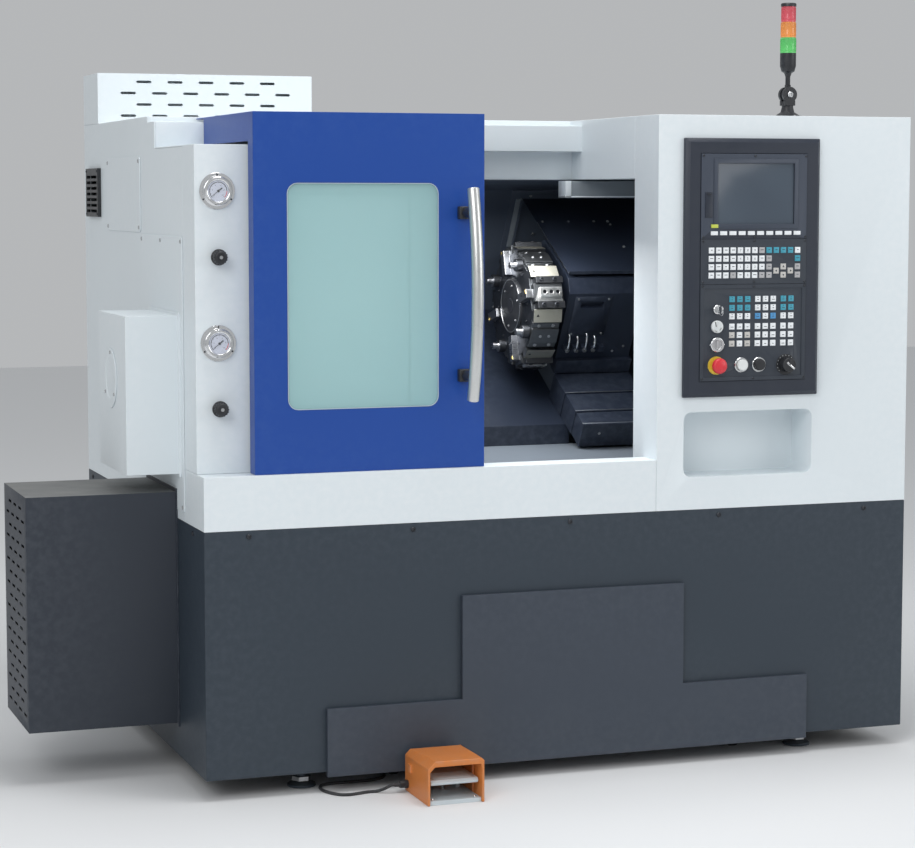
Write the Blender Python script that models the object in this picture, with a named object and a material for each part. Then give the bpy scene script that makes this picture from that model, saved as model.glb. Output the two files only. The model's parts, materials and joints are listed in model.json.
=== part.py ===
"""CNC turning lathe with a slant bed, a sliding door and a foot pedal.

Lengths are metres. X runs from the machine's left side to its right side, Y runs from the
front plane into the machine, and Z is the height over the floor. Everything hangs under one
empty that puts the origin under the middle of the whole machine.
"""
import math

import bmesh
import bpy
from mathutils import Matrix, Vector

# Overall sizes
MACHINE_WIDTH = 1.84
MACHINE_DEPTH = 1.405
BASE_BOTTOM = 0.05
BASE_TOP = 0.637
SILL_TOP = 0.765
ROOF_TOP = 1.612
GAP = 0.0003
SHEET = 0.003
THIN_SHEET = 0.0015
OVERRUN = 0.02
MERGE_DISTANCE = 0.00001
MITRE_LIMIT_SHARE = 0.2

# Base and feet
BASE_WALL = 0.008
FOOT_INSET = 0.255
FOOT_DEPTH_INSET = 0.09
FOOT_PAD_RADIUS = 0.035
FOOT_PAD_HEIGHT = 0.014
FOOT_STEM_RADIUS = 0.014
FOOT_BLOCK_HALF = 0.045
FOOT_BLOCK_HEIGHT = 0.04
SHAFT_HOLE_RADIUS = 0.03

# Coolant tank
TANK_FRONT_LEFT = 0.2915
TANK_RIGHT_INSET = 0.28
TANK_FRONT_LOW = 0.04
TANK_FRONT_TOP = 0.204
TANK_NECK_LEFT = 0.631
TANK_NECK_RIGHT = 1.215
TANK_NECK_TOP = 0.4565
TANK_FRONT_THICK = 0.012
TANK_LIP = 0.022
TANK_BODY_LEFT = 0.36
TANK_BODY_BOTTOM = 0.06
TANK_BODY_DEPTH = 0.95
TANK_BUCKET_DEPTH = 0.50
TANK_CLEARANCE = 0.006

# Tank wheels
WHEEL_RADIUS = 0.0225
WHEEL_WIDTH = 0.02
WHEEL_SIDE_INSET = 0.14
WHEEL_FRONT = 0.13
WHEEL_BACK_INSET = 0.09
FORK_PLATE = 0.004
FORK_HALF_WIDTH = 0.013
AXLE_RADIUS = 0.004

# Apron and headstock cover
APRON_DEPTH = 0.078
APRON_FLANGE = 0.03
SIDE_SEAM = 0.187
COLUMN_FRONT = 0.067
COLUMN_TOP = 1.533
LINING_LEFT = 0.600
CABINET_LEFT = 1.143
CABINET_DEPTH = 0.145

# Header over the working space
FASCIA_FRONT = 0.49
FASCIA_LOW = 1.53
FASCIA_TOP = 1.597
RECESS_FRONT = 0.56
RECESS_LOW = 1.457
ROOF_FRONT = 0.572

# Slant bed: distances run down the slope and square to it, from the parked turret's axis
SLANT = math.radians(30)
TURRET_Y = 0.65
TURRET_Z = 1.12
SPINDLE_REACH = 0.295

# Interior lining and covers
LINING_SHEET = 0.002
REAR_WALL = 0.33
REAR_WALL_TOP = 0.17
BED_COVER_LEVEL = 0.2265
BED_COVER_END = 0.239
PAN_LIP_HEIGHT = 0.7525
PAN_SLOT_HEIGHT = 0.735
PAN_SLOT_BACK = 0.20
PAN_SLOT_FRONT = 0.095
CHUTE_LEFT = 0.70
CHUTE_RIGHT = 1.12
CHUTE_BOTTOM = 0.475
CARRIAGE_SLOT_LEFT = 0.865
CARRIAGE_SLOT_RIGHT = 1.355
CARRIAGE_SLOT_BACK = 0.29
SPINDLE_PORT_RADIUS = 0.076
FRAME_BAND = 0.028
FRAME_LEFT = 1.085
FRAME_RIGHT = 1.27
FRAME_DROP = 0.04
FRAME_RAISE = 0.003
FRAME_EDGE = 0.012
SHROUD_LEFT = 1.12
SHROUD_LEVEL = 0.141
SHROUD_FRONT = 0.0655
SHROUD_HEM = 0.008

# Bed, headstock and spindle
BED_LEFT = 0.12
BED_RIGHT_INSET = 0.06
BED_LEVEL = 0.335
BED_FRONT = 0.30
BED_BACK = 0.31
BED_BACK_LEAN = 0.04
BED_TOE = 0.09
RAIL_WIDTH = 0.035
RAIL_HEIGHT = 0.03
RAIL_DOWN = 0.155
RAIL_UP = 0.15
HEADSTOCK_RIGHT = 0.56
HEADSTOCK_UP = 0.125
HEADSTOCK_FOOT = 0.004
HEADSTOCK_CROWN = 0.12
HEADSTOCK_CHAMFER = 0.05
SPINDLE_RADIUS = 0.04
SPINDLE_BORE = 0.022
SPINDLE_CLEARANCE = 0.0003
NOSE_RADIUS = 0.068
NOSE_CLEARANCE = 0.006
PULLEY_RADIUS = 0.075
PULLEY_LEFT = 0.03
PULLEY_WIDTH = 0.045
CYLINDER_RADIUS = 0.058
CYLINDER_REACH = 0.10

# Chuck
CHUCK_RADIUS = 0.0825
CHUCK_LENGTH = 0.07
CHUCK_CHAMFER = 0.004
JAW_WIDTH = 0.022
JAW_SLOT_DEPTH = 0.012
JAW_CLEARANCE = 0.0003
JAW_INNER = 0.034
JAW_STEP = 0.052
JAW_OUTER = 0.078
JAW_HEIGHT = 0.03
JAW_STEP_HEIGHT = 0.016

# Carriage and its covers
CARRIAGE_LEFT = 1.12
CARRIAGE_RIGHT = 1.34
CARRIAGE_INSET = 0.015
CARRIAGE_TOP = 0.165
CARRIAGE_UP = 0.20
CARRIAGE_DOWN = 0.215
CARRIAGE_NOSE = 0.34
CARRIAGE_NOSE_LEVEL = 0.214
COVER_FRONT = 0.348
COVER_SKIRT_LEVEL = 0.2215
COVER_LEVEL = 0.148
COVER_STEP = 0.002
PLATE_1_START = 0.1145
PLATE_1_END = 0.208
PLATE_2_START = 0.190
PLATE_2_END = 0.290
PLATE_3_START = 0.236
MOVING_COVER_LENGTH = 0.27
MOVING_COVER_LIFT = 0.0025
MOVING_COVER_TUCK = 0.012

# Turret slide and disc
SLIDE_UP = 0.20
SLIDE_TOP = 0.106
SLIDE_FRONT = 0.104
WIPER_THICK = 0.010
HOUSING_RIGHT = 1.335
HOUSING_UP = 0.16
HOUSING_FRONT = 0.10
HOUSING_TOP = 0.128
HOUSING_CHAMFER = 0.03
HATCH_LEFT = 1.14
HATCH_RIGHT = 1.245
HATCH_DROP = 0.035
HATCH_TOP = 0.105
HATCH_RAISE = 0.002
HATCH_SLOT_LOW = 0.055
HATCH_SLOT_TOP = 0.072
HATCH_SLOT_INSET = 0.02
FITTING_COUNT = 5
FITTING_RADIUS = 0.008
FITTING_REACH = 0.018
FITTING_DROP = 0.068
FITTING_PITCH = 0.025
TURRET_BOSS_RADIUS = 0.05
TURRET_LEFT = 1.010
TURRET_RIGHT = 1.090
STATION_COUNT = 8
LAND_RADIUS = 0.158
LAND_WIDTH = 0.036
SLOT_FLOOR_RADIUS = 0.136
SLOT_HALF = 0.044
CAP_RADIUS = 0.076
CAP_RAISE = 0.007
CAP_RIM = 0.003
HOLDER_HALF = 0.024
HOLDER_RADIUS = 0.161
HOLDER_INSET = 0.002
CLAMP_RADIUS = 0.166
CLAMP_OFFSET = 0.034
CLAMP_HALF = 0.009
PLATE_LEFT_INSET = 0.017
PLATE_RIGHT_INSET = 0.002
PLATE_HALF = 0.013
PLATE_RAISE = 0.007
PLATE_HOLE_RADIUS = 0.0052
PLATE_HOLE_PITCH = 0.0185
PLATE_HOLE_DEPTH = 0.005
SADDLE_HALF = 0.038
SADDLE_STEP_HALF = 0.022
SADDLE_RADIUS = 0.146
SADDLE_STEP_RADIUS = 0.152
SHANK = 0.023
SHANK_INNER = 0.083
SHANK_OUTER = 0.150
SHANK_SINK = 0.006
BAR_RADIUS = 0.009
BAR_SLEEVE_RADIUS = 0.017
BAR_SLEEVE_LENGTH = 0.018
BAR_LENGTH = 0.034
BAR_CENTRE_RADIUS = 0.128

# Door
DOOR_LEFT = 0.1253
DOOR_WIDTH = 0.5687
DOOR_FRONT = 0.01
DOOR_PANEL_DEPTH = 0.045
DOOR_TOP = 1.608
HOOD_LOW = 1.54
HOOD_LIP_BACK = 0.568
WINDOW_LEFT = 0.206
WINDOW_RIGHT = 0.578
WINDOW_LOW = 0.9145
WINDOW_TOP = 1.444
WINDOW_CORNER = 0.025
PANE_THICK = 0.005
PANE_LAP = 0.015
HANDLE_X = 0.645
HANDLE_LOW = 0.93
HANDLE_TOP = 1.431
HANDLE_RADIUS = 0.0145
HANDLE_END_OFFSET = 0.055
HANDLE_BOW = 0.033
STANDOFF_RADIUS = 0.0125
STANDOFF_INSET = 0.057
STANDOFF_SHIFT = 0.004

# Control cabinet and panel
FRAME_X0 = 1.209
FRAME_X1 = 1.578
FRAME_Z0 = 0.9175
FRAME_Z1 = 1.5555
FRAME_PROUD = 0.02
FRAME_BEVEL = 0.010
FRAME_CORNER = 0.002
UNIT_X0 = 1.2475
UNIT_X1 = 1.537
UNIT_Z0 = 0.9575
UNIT_Z1 = 1.1965
UNIT_Z2 = 1.308
UNIT_Z3 = 1.5176
UNIT_PROUD = 0.022
UNIT_DEPTH = 0.05
POCKET_X0 = 1.216
POCKET_X1 = 1.570
POCKET_Z0 = 0.719
POCKET_Z1 = 0.880
POCKET_CORNER = 0.02
POCKET_DEPTH = 0.11
BEZEL_X0 = 1.2813
BEZEL_X1 = 1.5119
BEZEL_Z0 = 1.3337
BEZEL_Z1 = 1.5047
BEZEL_RAISE = 0.002
SCREEN_MARGIN = 0.011
SCREEN_SINK = 0.003
SOFT_KEY_WIDTH = 0.0185
SOFT_KEY_HEIGHT = 0.0094
SOFT_KEY_FIRST_X = 1.2834
SOFT_KEY_Z = 1.3225
SOFT_KEY_COUNT = 10
SOFT_KEY_PITCH = 0.0252
CARD_DOOR_LEFT = 1.2584
CARD_DOOR_WIDTH = 0.0194
CARD_DOOR_LOW = 1.361
CARD_DOOR_TOP = 1.4232
KEY_RAISE = 0.002
KEY_SIDE = 0.0143
KEY_PITCH_X = 0.01968
KEY_PITCH_Z = 0.02043
KEY_COLUMNS = 13
KEY_ROWS = 4
KEY_FIRST_X = 1.2762
KEY_FIRST_Z = 1.2801
OPERATOR_FIRST_X = 1.3345
OPERATOR_GROUP_SHIFT = 0.0067
OPERATOR_PITCH_X = 0.02125
OPERATOR_FIRST_Z = 1.1595
OPERATOR_PITCH_Z = 0.0211
OPERATOR_ROW_SHIFT = 0.0042
OPERATOR_COLUMNS = 8
OPERATOR_ROWS = 6
OPERATOR_RIM = 0.0105
FIELD_SINK = 0.002
CONTROL_BORE_DEPTH = 0.022
STEM_RADIUS = 0.008
STEM_CLEARANCE = 0.0001
STEM_LENGTH = 0.016

# Centres and radii of the hand controls on the operator unit
ESTOP_X = 1.2925
ESTOP_Z = 0.9965
ESTOP_RADIUS = 0.0195
ESTOP_RING_RADIUS = 0.0225
ESTOP_RING_THICK = 0.004
ESTOP_NECK_RADIUS = 0.012
ESTOP_NECK_LENGTH = 0.012
ESTOP_HEAD = 0.015
ESTOP_TRAVEL = 0.006
WHITE_BUTTON_X = 1.3615
BLACK_BUTTON_X = 1.4096
BUTTON_Z = 0.9965
BUTTON_RADIUS = 0.0145
BUTTON_HEIGHT = 0.011
BUTTON_TRAVEL = 0.004
OVERRIDE_X = 1.484
OVERRIDE_Z = 0.995
OVERRIDE_RADIUS = 0.018
OVERRIDE_HEIGHT = 0.022
OVERRIDE_DIAL_RADIUS = 0.0262
OVERRIDE_DIAL_THICK = 0.0014
SWITCH_X = 1.293
KEY_SWITCH_Z = 1.135
MODE_SWITCH_Z = 1.0925
RING_SWITCH_Z = 1.048
SWITCH_RADIUS = 0.0115
MODE_RADIUS = 0.0155
RING_RADIUS = 0.0185
RING_DISH_RADIUS = 0.011
SWITCH_HEIGHT = 0.008
BLADE_HEIGHT = 0.012
BLADE_WIDTH = 0.004
KEY_BLADE_HEIGHT = 0.022
TAPER = 0.0015

# Air service gauges
GAUGE_X = 0.054
GAUGE_HIGH_Z = 1.425
GAUGE_LOW_Z = 1.0715
KNOB_DROP = 0.153
GAUGE_FLANGE_RADIUS = 0.0425
GAUGE_FLANGE_THICK = 0.003
GAUGE_BODY_RADIUS = 0.033
GAUGE_BODY_HEIGHT = 0.014
GAUGE_RIM = 0.003
GAUGE_DIAL_SINK = 0.004
REGULATOR_RADIUS = 0.019
REGULATOR_NECK_RADIUS = 0.012
REGULATOR_NECK_LENGTH = 0.006
REGULATOR_LENGTH = 0.026

# Side panels, grille, spindle cover, motor cover
PANEL_PROUD = 0.003
UPPER_PANEL_Y0 = 0.652
UPPER_PANEL_Y1 = 1.07
UPPER_PANEL_Z0 = 1.322
UPPER_PANEL_Z1 = 1.514
LOWER_PANEL_Y1 = 0.645
LOWER_PANEL_Z0 = 0.66
LOWER_PANEL_Z1 = 1.318
PANEL_CORNER = 0.012
GRILLE_Y0 = 1.169
GRILLE_Y1 = 1.336
GRILLE_Z0 = 1.357
GRILLE_Z1 = 1.490
GRILLE_THICK = 0.01
GRILLE_RIM = 0.012
GRILLE_SLATS = 7
GRILLE_SLOT_SHARE = 0.5
SPINDLE_COVER_REACH = 0.134
SPINDLE_COVER_Y0 = 0.22
SPINDLE_COVER_Y1 = 0.54
SPINDLE_COVER_Z0 = 0.751
SPINDLE_COVER_Z1 = 1.13
COVER_FLANGE = 0.008
COVER_WALL = 0.002
BAR_HOLE_RADIUS = 0.052
BAR_DISC_RADIUS = 0.0735
BAR_DISC_THICK = 0.003
BAR_DISC_DISH = 0.05
CYLINDER_HOLE_RADIUS = 0.08
MOTOR_COVER_REACH = 0.366
MOTOR_COVER_Y0 = 0.277
MOTOR_COVER_Y1 = 0.599
MOTOR_COVER_Z0 = 0.133
MOTOR_COVER_Z1 = 0.701
VENT_SLOT_LENGTH = 0.044
VENT_SLOT_WIDTH = 0.007
MOTOR_VENT_ROWS = 18
MOTOR_VENT_PITCH_Y = 0.073
MOTOR_VENT_MARGIN = 0.035
MOTOR_HALF = 0.105
MOTOR_CHAMFER = 0.03
MOTOR_LEFT = -0.32
MOTOR_FLANGE = 0.125
MOTOR_FLANGE_THICK = 0.015
MOTOR_BELL_RADIUS = 0.09
MOTOR_BELL_LENGTH = 0.03
MOTOR_SHAFT_RADIUS = 0.019
MOTOR_SHAFT_REACH = 0.07
MOTOR_RIB = 0.008
MOTOR_RIB_COUNT = 5

# Roof vent
ROOF_VENT_WIDTH = 0.61
ROOF_VENT_FRONT = 1.20
ROOF_VENT_HEIGHT = 0.138
ROOF_VENT_ROWS = 4
ROOF_VENT_COLUMNS = 6
ROOF_VENT_PITCH_X = 0.088
ROOF_VENT_PITCH_Z = 0.031

# Signal tower
TOWER_X = 1.54
TOWER_Y = 0.095
TOWER_GASKET_RADIUS = 0.045
TOWER_GASKET_THICK = 0.002
TOWER_FOOT_RADIUS = 0.0335
TOWER_FOOT_HEIGHT = 0.012
TOWER_NECK_RADIUS = 0.0145
TOWER_HINGE_HEIGHT = 0.056
TOWER_EAR = 0.0095
TOWER_EAR_RADIUS = 0.0195
TOWER_TONGUE_HALF = 0.005
TOWER_TONGUE_RADIUS = 0.0165
TOWER_STEM_RADIUS = 0.0062
TOWER_STEM_LOW = 0.079
TOWER_STEM_TOP = 0.101
TOWER_CONE_RADIUS = 0.0095
TOWER_CONE_TOP = 0.110
TOWER_BODY_FOOT_RADIUS = 0.0165
TOWER_BODY_FOOT = 0.114
TOWER_BODY_SHOULDER = 0.1275
TOWER_BODY_RADIUS = 0.0203
TOWER_BODY_TOP = 0.1595
TOWER_LENS_RADIUS = 0.0202
TOWER_LENS_STEP = 0.0008
TOWER_LENS_HEIGHT = 0.0388
TOWER_LENS_GROOVE = 0.0012
TOWER_LENS_LIP = 0.0015
TOWER_CAP_HEIGHT = 0.0085
TOWER_PIN_RADIUS = 0.004
TOWER_PIN_PROUD = 0.001

# Foot pedal
PEDAL_X0 = 0.477
PEDAL_X1 = 0.617
PEDAL_FRONT = -0.205
PEDAL_BACK = -0.035
PEDAL_HEIGHT = 0.105
PEDAL_WALL = 0.006
PEDAL_ROOF = 0.014
PEDAL_CORNER = 0.018
PEDAL_BACK_HEIGHT = 0.098
PEDAL_LUG = 0.010
PEDAL_BASE_THICK = 0.010
PEDAL_BASE_FRONT_SETBACK = 0.006
TREADLE_THICK = 0.006
TREADLE_LEVEL = 0.048
TREADLE_FRONT_SETBACK = 0.012
TREADLE_BACK_SETBACK = 0.045
TREADLE_SIDE = 0.005
TREADLE_LIP = 0.012
TREADLE_PIN_RADIUS = 0.004
TREADLE_EAR = 0.010
GLAND_RADIUS = 0.009
GLAND_LENGTH = 0.022
GLAND_HEIGHT = 0.020
GLAND_BACK_SETBACK = 0.022
CABLE_RADIUS = 0.00375
CABLE_BRACKET_Y0 = 0.155
CABLE_BRACKET_Y1 = 0.195
CABLE_BRACKET_REACH = 0.335
CABLE_BRACKET_LOW = 0.012

COS_SLANT = math.cos(SLANT)
SIN_SLANT = math.sin(SLANT)
SPINDLE_Y = TURRET_Y - SPINDLE_REACH * COS_SLANT
SPINDLE_Z = TURRET_Z - SPINDLE_REACH * SIN_SLANT
DOOR_RIGHT = DOOR_LEFT + DOOR_WIDTH
TANK_FRONT_RIGHT = MACHINE_WIDTH - TANK_RIGHT_INSET
MOTOR_Y = (MOTOR_COVER_Y0 + MOTOR_COVER_Y1) / 2
MOTOR_Z = (MOTOR_COVER_Z0 + MOTOR_COVER_Z1) / 2
PANEL_FACE = -(GAP + PANEL_PROUD)
FIELD_FACE = -(UNIT_PROUD - FIELD_SINK)


def down_slope(down, out):
    """Y and Z of a point that lies down the slope and out from it, seen from the turret's axis."""
    return (TURRET_Y - down * COS_SLANT - out * SIN_SLANT,
            TURRET_Z - down * SIN_SLANT + out * COS_SLANT)


# Colours: red, green, blue, roughness, metallic
FINISHES = {
    "white_paint": (0.72, 0.76, 0.78, 0.45, 0.0),
    "slate_paint": (0.045, 0.062, 0.08, 0.5, 0.0),
    "black_paint": (0.02, 0.025, 0.033, 0.5, 0.0),
    "interior_paint": (0.03, 0.036, 0.055, 0.5, 0.0),
    "blue_paint": (0.03, 0.08, 0.33, 0.4, 0.0),
    "aqua_glass": (0.35, 0.58, 0.58, 0.1, 0.0),
    "steel": (0.45, 0.46, 0.48, 0.35, 1.0),
    "dark_steel": (0.12, 0.13, 0.15, 0.45, 1.0),
    "chrome": (0.75, 0.76, 0.78, 0.15, 1.0),
    "cast_iron": (0.16, 0.18, 0.2, 0.6, 0.6),
    "panel_grey": (0.035, 0.045, 0.06, 0.55, 0.0),
    "black_plastic": (0.015, 0.016, 0.018, 0.4, 0.0),
    "white_plastic": (0.75, 0.77, 0.78, 0.4, 0.0),
    "red_plastic": (0.6, 0.03, 0.04, 0.35, 0.0),
    "lens_red": (0.75, 0.13, 0.16, 0.25, 0.0),
    "orange_paint": (0.68, 0.25, 0.05, 0.45, 0.0),
    "tread_grey": (0.34, 0.42, 0.47, 0.5, 0.0),
    "rubber": (0.03, 0.03, 0.032, 0.7, 0.0),
}


def finish(name):
    """The Principled material of a finish, made once."""
    material = bpy.data.materials.get(name)
    if material is None:
        red, green, blue, roughness, metallic = FINISHES[name]
        material = bpy.data.materials.new(name)
        material.use_nodes = True
        shader = material.node_tree.nodes["Principled BSDF"]
        shader.inputs["Base Color"].default_value = (red, green, blue, 1.0)
        shader.inputs["Roughness"].default_value = roughness
        shader.inputs["Metallic"].default_value = metallic
        material.diffuse_color = (red, green, blue, 1.0)
    return material


def solid_from(bm):
    """A scratch object that holds one closed mesh with its faces pointing out."""
    bmesh.ops.recalc_face_normals(bm, faces=bm.faces[:])
    if bm.calc_volume(signed=True) < 0:
        bmesh.ops.reverse_faces(bm, faces=bm.faces[:])
    mesh = bpy.data.meshes.new("shape")
    bm.to_mesh(mesh)
    bm.free()
    shape = bpy.data.objects.new("shape", mesh)
    bpy.context.scene.collection.objects.link(shape)
    return shape


def box(low, high):
    """A box between two corners."""
    bm = bmesh.new()
    size = Vector(high) - Vector(low)
    middle = (Vector(high) + Vector(low)) / 2
    bmesh.ops.create_cube(bm, size=1, matrix=Matrix.Translation(middle) @ Matrix.Diagonal(size).to_4x4())
    return solid_from(bm)


AXIS_TURNS = {
    "X": Matrix(((0, 0, 1), (1, 0, 0), (0, 1, 0))),
    "Y": Matrix(((1, 0, 0), (0, 0, 1), (0, 1, 0))),
    "Z": Matrix(((1, 0, 0), (0, 1, 0), (0, 0, 1))),
}


def prism(outline, low, high, axis="X"):
    """An outline swept along an axis: it holds (Y, Z) for X, (X, Z) for Y and (X, Y) for Z."""
    bm = bmesh.new()
    turn = AXIS_TURNS[axis]
    corners = [bm.verts.new(turn @ Vector((u, v, low))) for u, v in outline]
    face = bm.faces.new(corners)
    swept = bmesh.ops.extrude_face_region(bm, geom=[face])
    moved = [item for item in swept["geom"] if isinstance(item, bmesh.types.BMVert)]
    bmesh.ops.translate(bm, verts=moved, vec=turn @ Vector((0, 0, high - low)))
    return solid_from(bm)


def turned(profile, centre, axis="X", sides=24):
    """A profile of (radius, place along the axis) spun round an axis through the centre."""
    bm = bmesh.new()
    ring = [bm.verts.new((radius, 0, place)) for radius, place in profile]
    pairs = [(ring[i], ring[(i + 1) % len(ring)]) for i in range(len(ring))]
    edges = [bm.edges.new(pair) for pair in pairs if pair[0].co.x > 0 or pair[1].co.x > 0]
    bmesh.ops.spin(bm, geom=ring + edges, cent=(0, 0, 0), axis=(0, 0, 1),
                   angle=math.tau, steps=sides, use_merge=True)
    bmesh.ops.remove_doubles(bm, verts=bm.verts[:], dist=MERGE_DISTANCE)
    turn = AXIS_TURNS[axis]
    for vert in bm.verts:
        vert.co = turn @ vert.co + Vector(centre)
    return solid_from(bm)


def rod(radius, low, high, centre, axis="X", sides=24):
    """A round bar between two places on an axis through the centre."""
    outline = [(centre[0] + radius * math.cos(math.tau * i / sides),
                centre[1] + radius * math.sin(math.tau * i / sides)) for i in range(sides)]
    return prism(outline, low, high, axis)


def rounded(low_u, high_u, low_v, high_v, corner, steps=3):
    """The outline of a rectangle with round corners."""
    outline = []
    centres = ((high_u - corner, high_v - corner), (low_u + corner, high_v - corner),
               (low_u + corner, low_v + corner), (high_u - corner, low_v + corner))
    for quarter, (u, v) in enumerate(centres):
        for step in range(steps + 1):
            angle = math.pi / 2 * (quarter + step / steps)
            outline.append((u + corner * math.cos(angle), v + corner * math.sin(angle)))
    return outline


def folded(path, thickness):
    """The outline of a folded sheet: the path is one face, and the wall lies on its left side."""
    points = [Vector(point) for point in path]
    sides = [(points[i + 1] - points[i]).normalized() for i in range(len(points) - 1)]
    normals = [Vector((-side.y, side.x)) for side in sides]
    inner = []
    for i, point in enumerate(points):
        before = normals[max(i - 1, 0)]
        after = normals[min(i, len(normals) - 1)]
        mitre = (before + after).normalized()
        inner.append(point + mitre * (thickness / max(mitre.dot(after), MITRE_LIMIT_SHARE)))
    return [tuple(point) for point in points] + [tuple(point) for point in reversed(inner)]


def carve(target, tool, operation):
    """Apply a Boolean of one scratch shape to another and delete the tool."""
    cut = target.modifiers.new("carve", "BOOLEAN")
    cut.operation = operation
    cut.solver = "EXACT"
    cut.object = tool
    graph = bpy.context.evaluated_depsgraph_get()
    mesh = bpy.data.meshes.new_from_object(target.evaluated_get(graph), depsgraph=graph)
    target.modifiers.clear()
    target.data = mesh
    bpy.data.objects.remove(tool)
    return target


def cut_away(target, *tools):
    for tool in tools:
        carve(target, tool, "DIFFERENCE")
    return target


def join(target, *pieces):
    for piece in pieces:
        carve(target, piece, "UNION")
    return target


def bundle(shapes):
    """Several separate tools as one scratch object, for one pass of a Boolean."""
    bm = bmesh.new()
    for shape in shapes:
        bm.from_mesh(shape.data)
        bpy.data.objects.remove(shape)
    return solid_from(bm)


def node(name, shape, finish_name, origin=(0, 0, 0)):
    """Name a finished shape, give it its finish, and put its origin on its joint's axis."""
    mesh = shape.data
    mesh.transform(Matrix.Translation(-Vector(origin)))
    bm = bmesh.new()
    bm.from_mesh(mesh)
    bmesh.ops.remove_doubles(bm, verts=bm.verts[:], dist=MERGE_DISTANCE)
    bmesh.ops.dissolve_limit(bm, angle_limit=math.radians(0.1), verts=bm.verts[:], edges=bm.edges[:])
    bm.to_mesh(mesh)
    bm.free()
    mesh.materials.clear()
    mesh.materials.append(finish(finish_name))
    mesh.shade_smooth()
    mesh.set_sharp_from_angle(angle=math.radians(35))
    shape.name = name
    mesh.name = name
    shape.parent = frame_origin
    shape.location = origin
    return shape


def vent_slot(centre_u, centre_v):
    """A vent slot's outline: a long hexagon, which stands for its round ends with few faces."""
    half_length = VENT_SLOT_LENGTH / 2
    half_width = VENT_SLOT_WIDTH / 2
    flat = half_length - half_width
    return [(centre_u - flat, centre_v - half_width), (centre_u + flat, centre_v - half_width),
            (centre_u + half_length, centre_v), (centre_u + flat, centre_v + half_width),
            (centre_u - flat, centre_v + half_width), (centre_u - half_length, centre_v)]


def tank_outline(margin):
    """The upside-down T of the tank's front, drawn in by a margin."""
    low = TANK_FRONT_LOW + margin
    shoulder = TANK_FRONT_TOP - margin
    return [(TANK_FRONT_LEFT + margin, low), (TANK_FRONT_RIGHT - margin, low),
            (TANK_FRONT_RIGHT - margin, shoulder), (TANK_NECK_RIGHT - margin, shoulder),
            (TANK_NECK_RIGHT - margin, TANK_NECK_TOP - margin),
            (TANK_NECK_LEFT + margin, TANK_NECK_TOP - margin),
            (TANK_NECK_LEFT + margin, shoulder), (TANK_FRONT_LEFT + margin, shoulder)]


def make_base():
    body = box((0, 0, BASE_BOTTOM), (MACHINE_WIDTH, MACHINE_DEPTH, BASE_TOP))
    hollow = box((BASE_WALL, BASE_WALL, BASE_BOTTOM - OVERRUN),
                 (MACHINE_WIDTH - BASE_WALL, MACHINE_DEPTH - BASE_WALL, BASE_TOP - BASE_WALL))
    cut_away(body, hollow)
    mouth = prism(tank_outline(TANK_LIP - TANK_CLEARANCE), -OVERRUN, BASE_WALL + OVERRUN, "Y")
    skirt = box((TANK_FRONT_LEFT + TANK_LIP - TANK_CLEARANCE, -OVERRUN, BASE_BOTTOM - OVERRUN),
                (TANK_FRONT_RIGHT - TANK_LIP + TANK_CLEARANCE, BASE_WALL + OVERRUN,
                 TANK_FRONT_LOW + TANK_LIP + OVERRUN))
    chute = box((CHUTE_LEFT - TANK_CLEARANCE, PAN_SLOT_FRONT - TANK_CLEARANCE, BASE_TOP - OVERRUN),
                (CHUTE_RIGHT + TANK_CLEARANCE, PAN_SLOT_BACK + TANK_CLEARANCE, BASE_TOP + OVERRUN))
    shaft = rod(SHAFT_HOLE_RADIUS, -OVERRUN, BASE_WALL + OVERRUN, (MOTOR_Y, MOTOR_Z))
    cut_away(body, mouth, skirt, chute, shaft)
    for x in (FOOT_INSET, MACHINE_WIDTH - FOOT_INSET):
        for y, wall in ((FOOT_DEPTH_INSET, 0), (MACHINE_DEPTH - FOOT_DEPTH_INSET, MACHINE_DEPTH)):
            block_y = sorted((wall, y + math.copysign(FOOT_BLOCK_HALF, y - wall)))
            inner = x - FOOT_BLOCK_HALF if x < MACHINE_WIDTH / 2 else x + FOOT_BLOCK_HALF
            outer = x + FOOT_BLOCK_HALF if x < MACHINE_WIDTH / 2 else x - FOOT_BLOCK_HALF
            block_x = sorted((inner, outer))
            join(body, box((block_x[0], block_y[0], BASE_BOTTOM),
                           (block_x[1], block_y[1], BASE_BOTTOM + FOOT_BLOCK_HEIGHT)))
            foot = turned([(0, 0), (FOOT_PAD_RADIUS, 0), (FOOT_PAD_RADIUS, FOOT_PAD_HEIGHT / 2),
                           (FOOT_STEM_RADIUS, FOOT_PAD_HEIGHT), (FOOT_STEM_RADIUS, BASE_BOTTOM + GAP),
                           (0, BASE_BOTTOM + GAP)], (x, y, 0), "Z", 16)
            join(body, foot)
    arm = box((FOOT_INSET - FOOT_BLOCK_HALF, FOOT_DEPTH_INSET, BASE_BOTTOM),
              (CABLE_BRACKET_REACH, CABLE_BRACKET_Y1, BASE_BOTTOM + FOOT_BLOCK_HEIGHT))
    bracket = box((CABLE_BRACKET_REACH - BASE_WALL, CABLE_BRACKET_Y0, CABLE_BRACKET_LOW),
                  (CABLE_BRACKET_REACH, CABLE_BRACKET_Y1, BASE_BOTTOM + FOOT_BLOCK_HEIGHT / 2))
    join(body, arm, bracket)
    node("base", body, "slate_paint")


def wheel_places():
    places = []
    for x in (TANK_BODY_LEFT + WHEEL_SIDE_INSET, TANK_FRONT_RIGHT - WHEEL_SIDE_INSET):
        for y in (WHEEL_FRONT, TANK_BODY_DEPTH - WHEEL_BACK_INSET):
            places.append((x, y))
    return places


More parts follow.
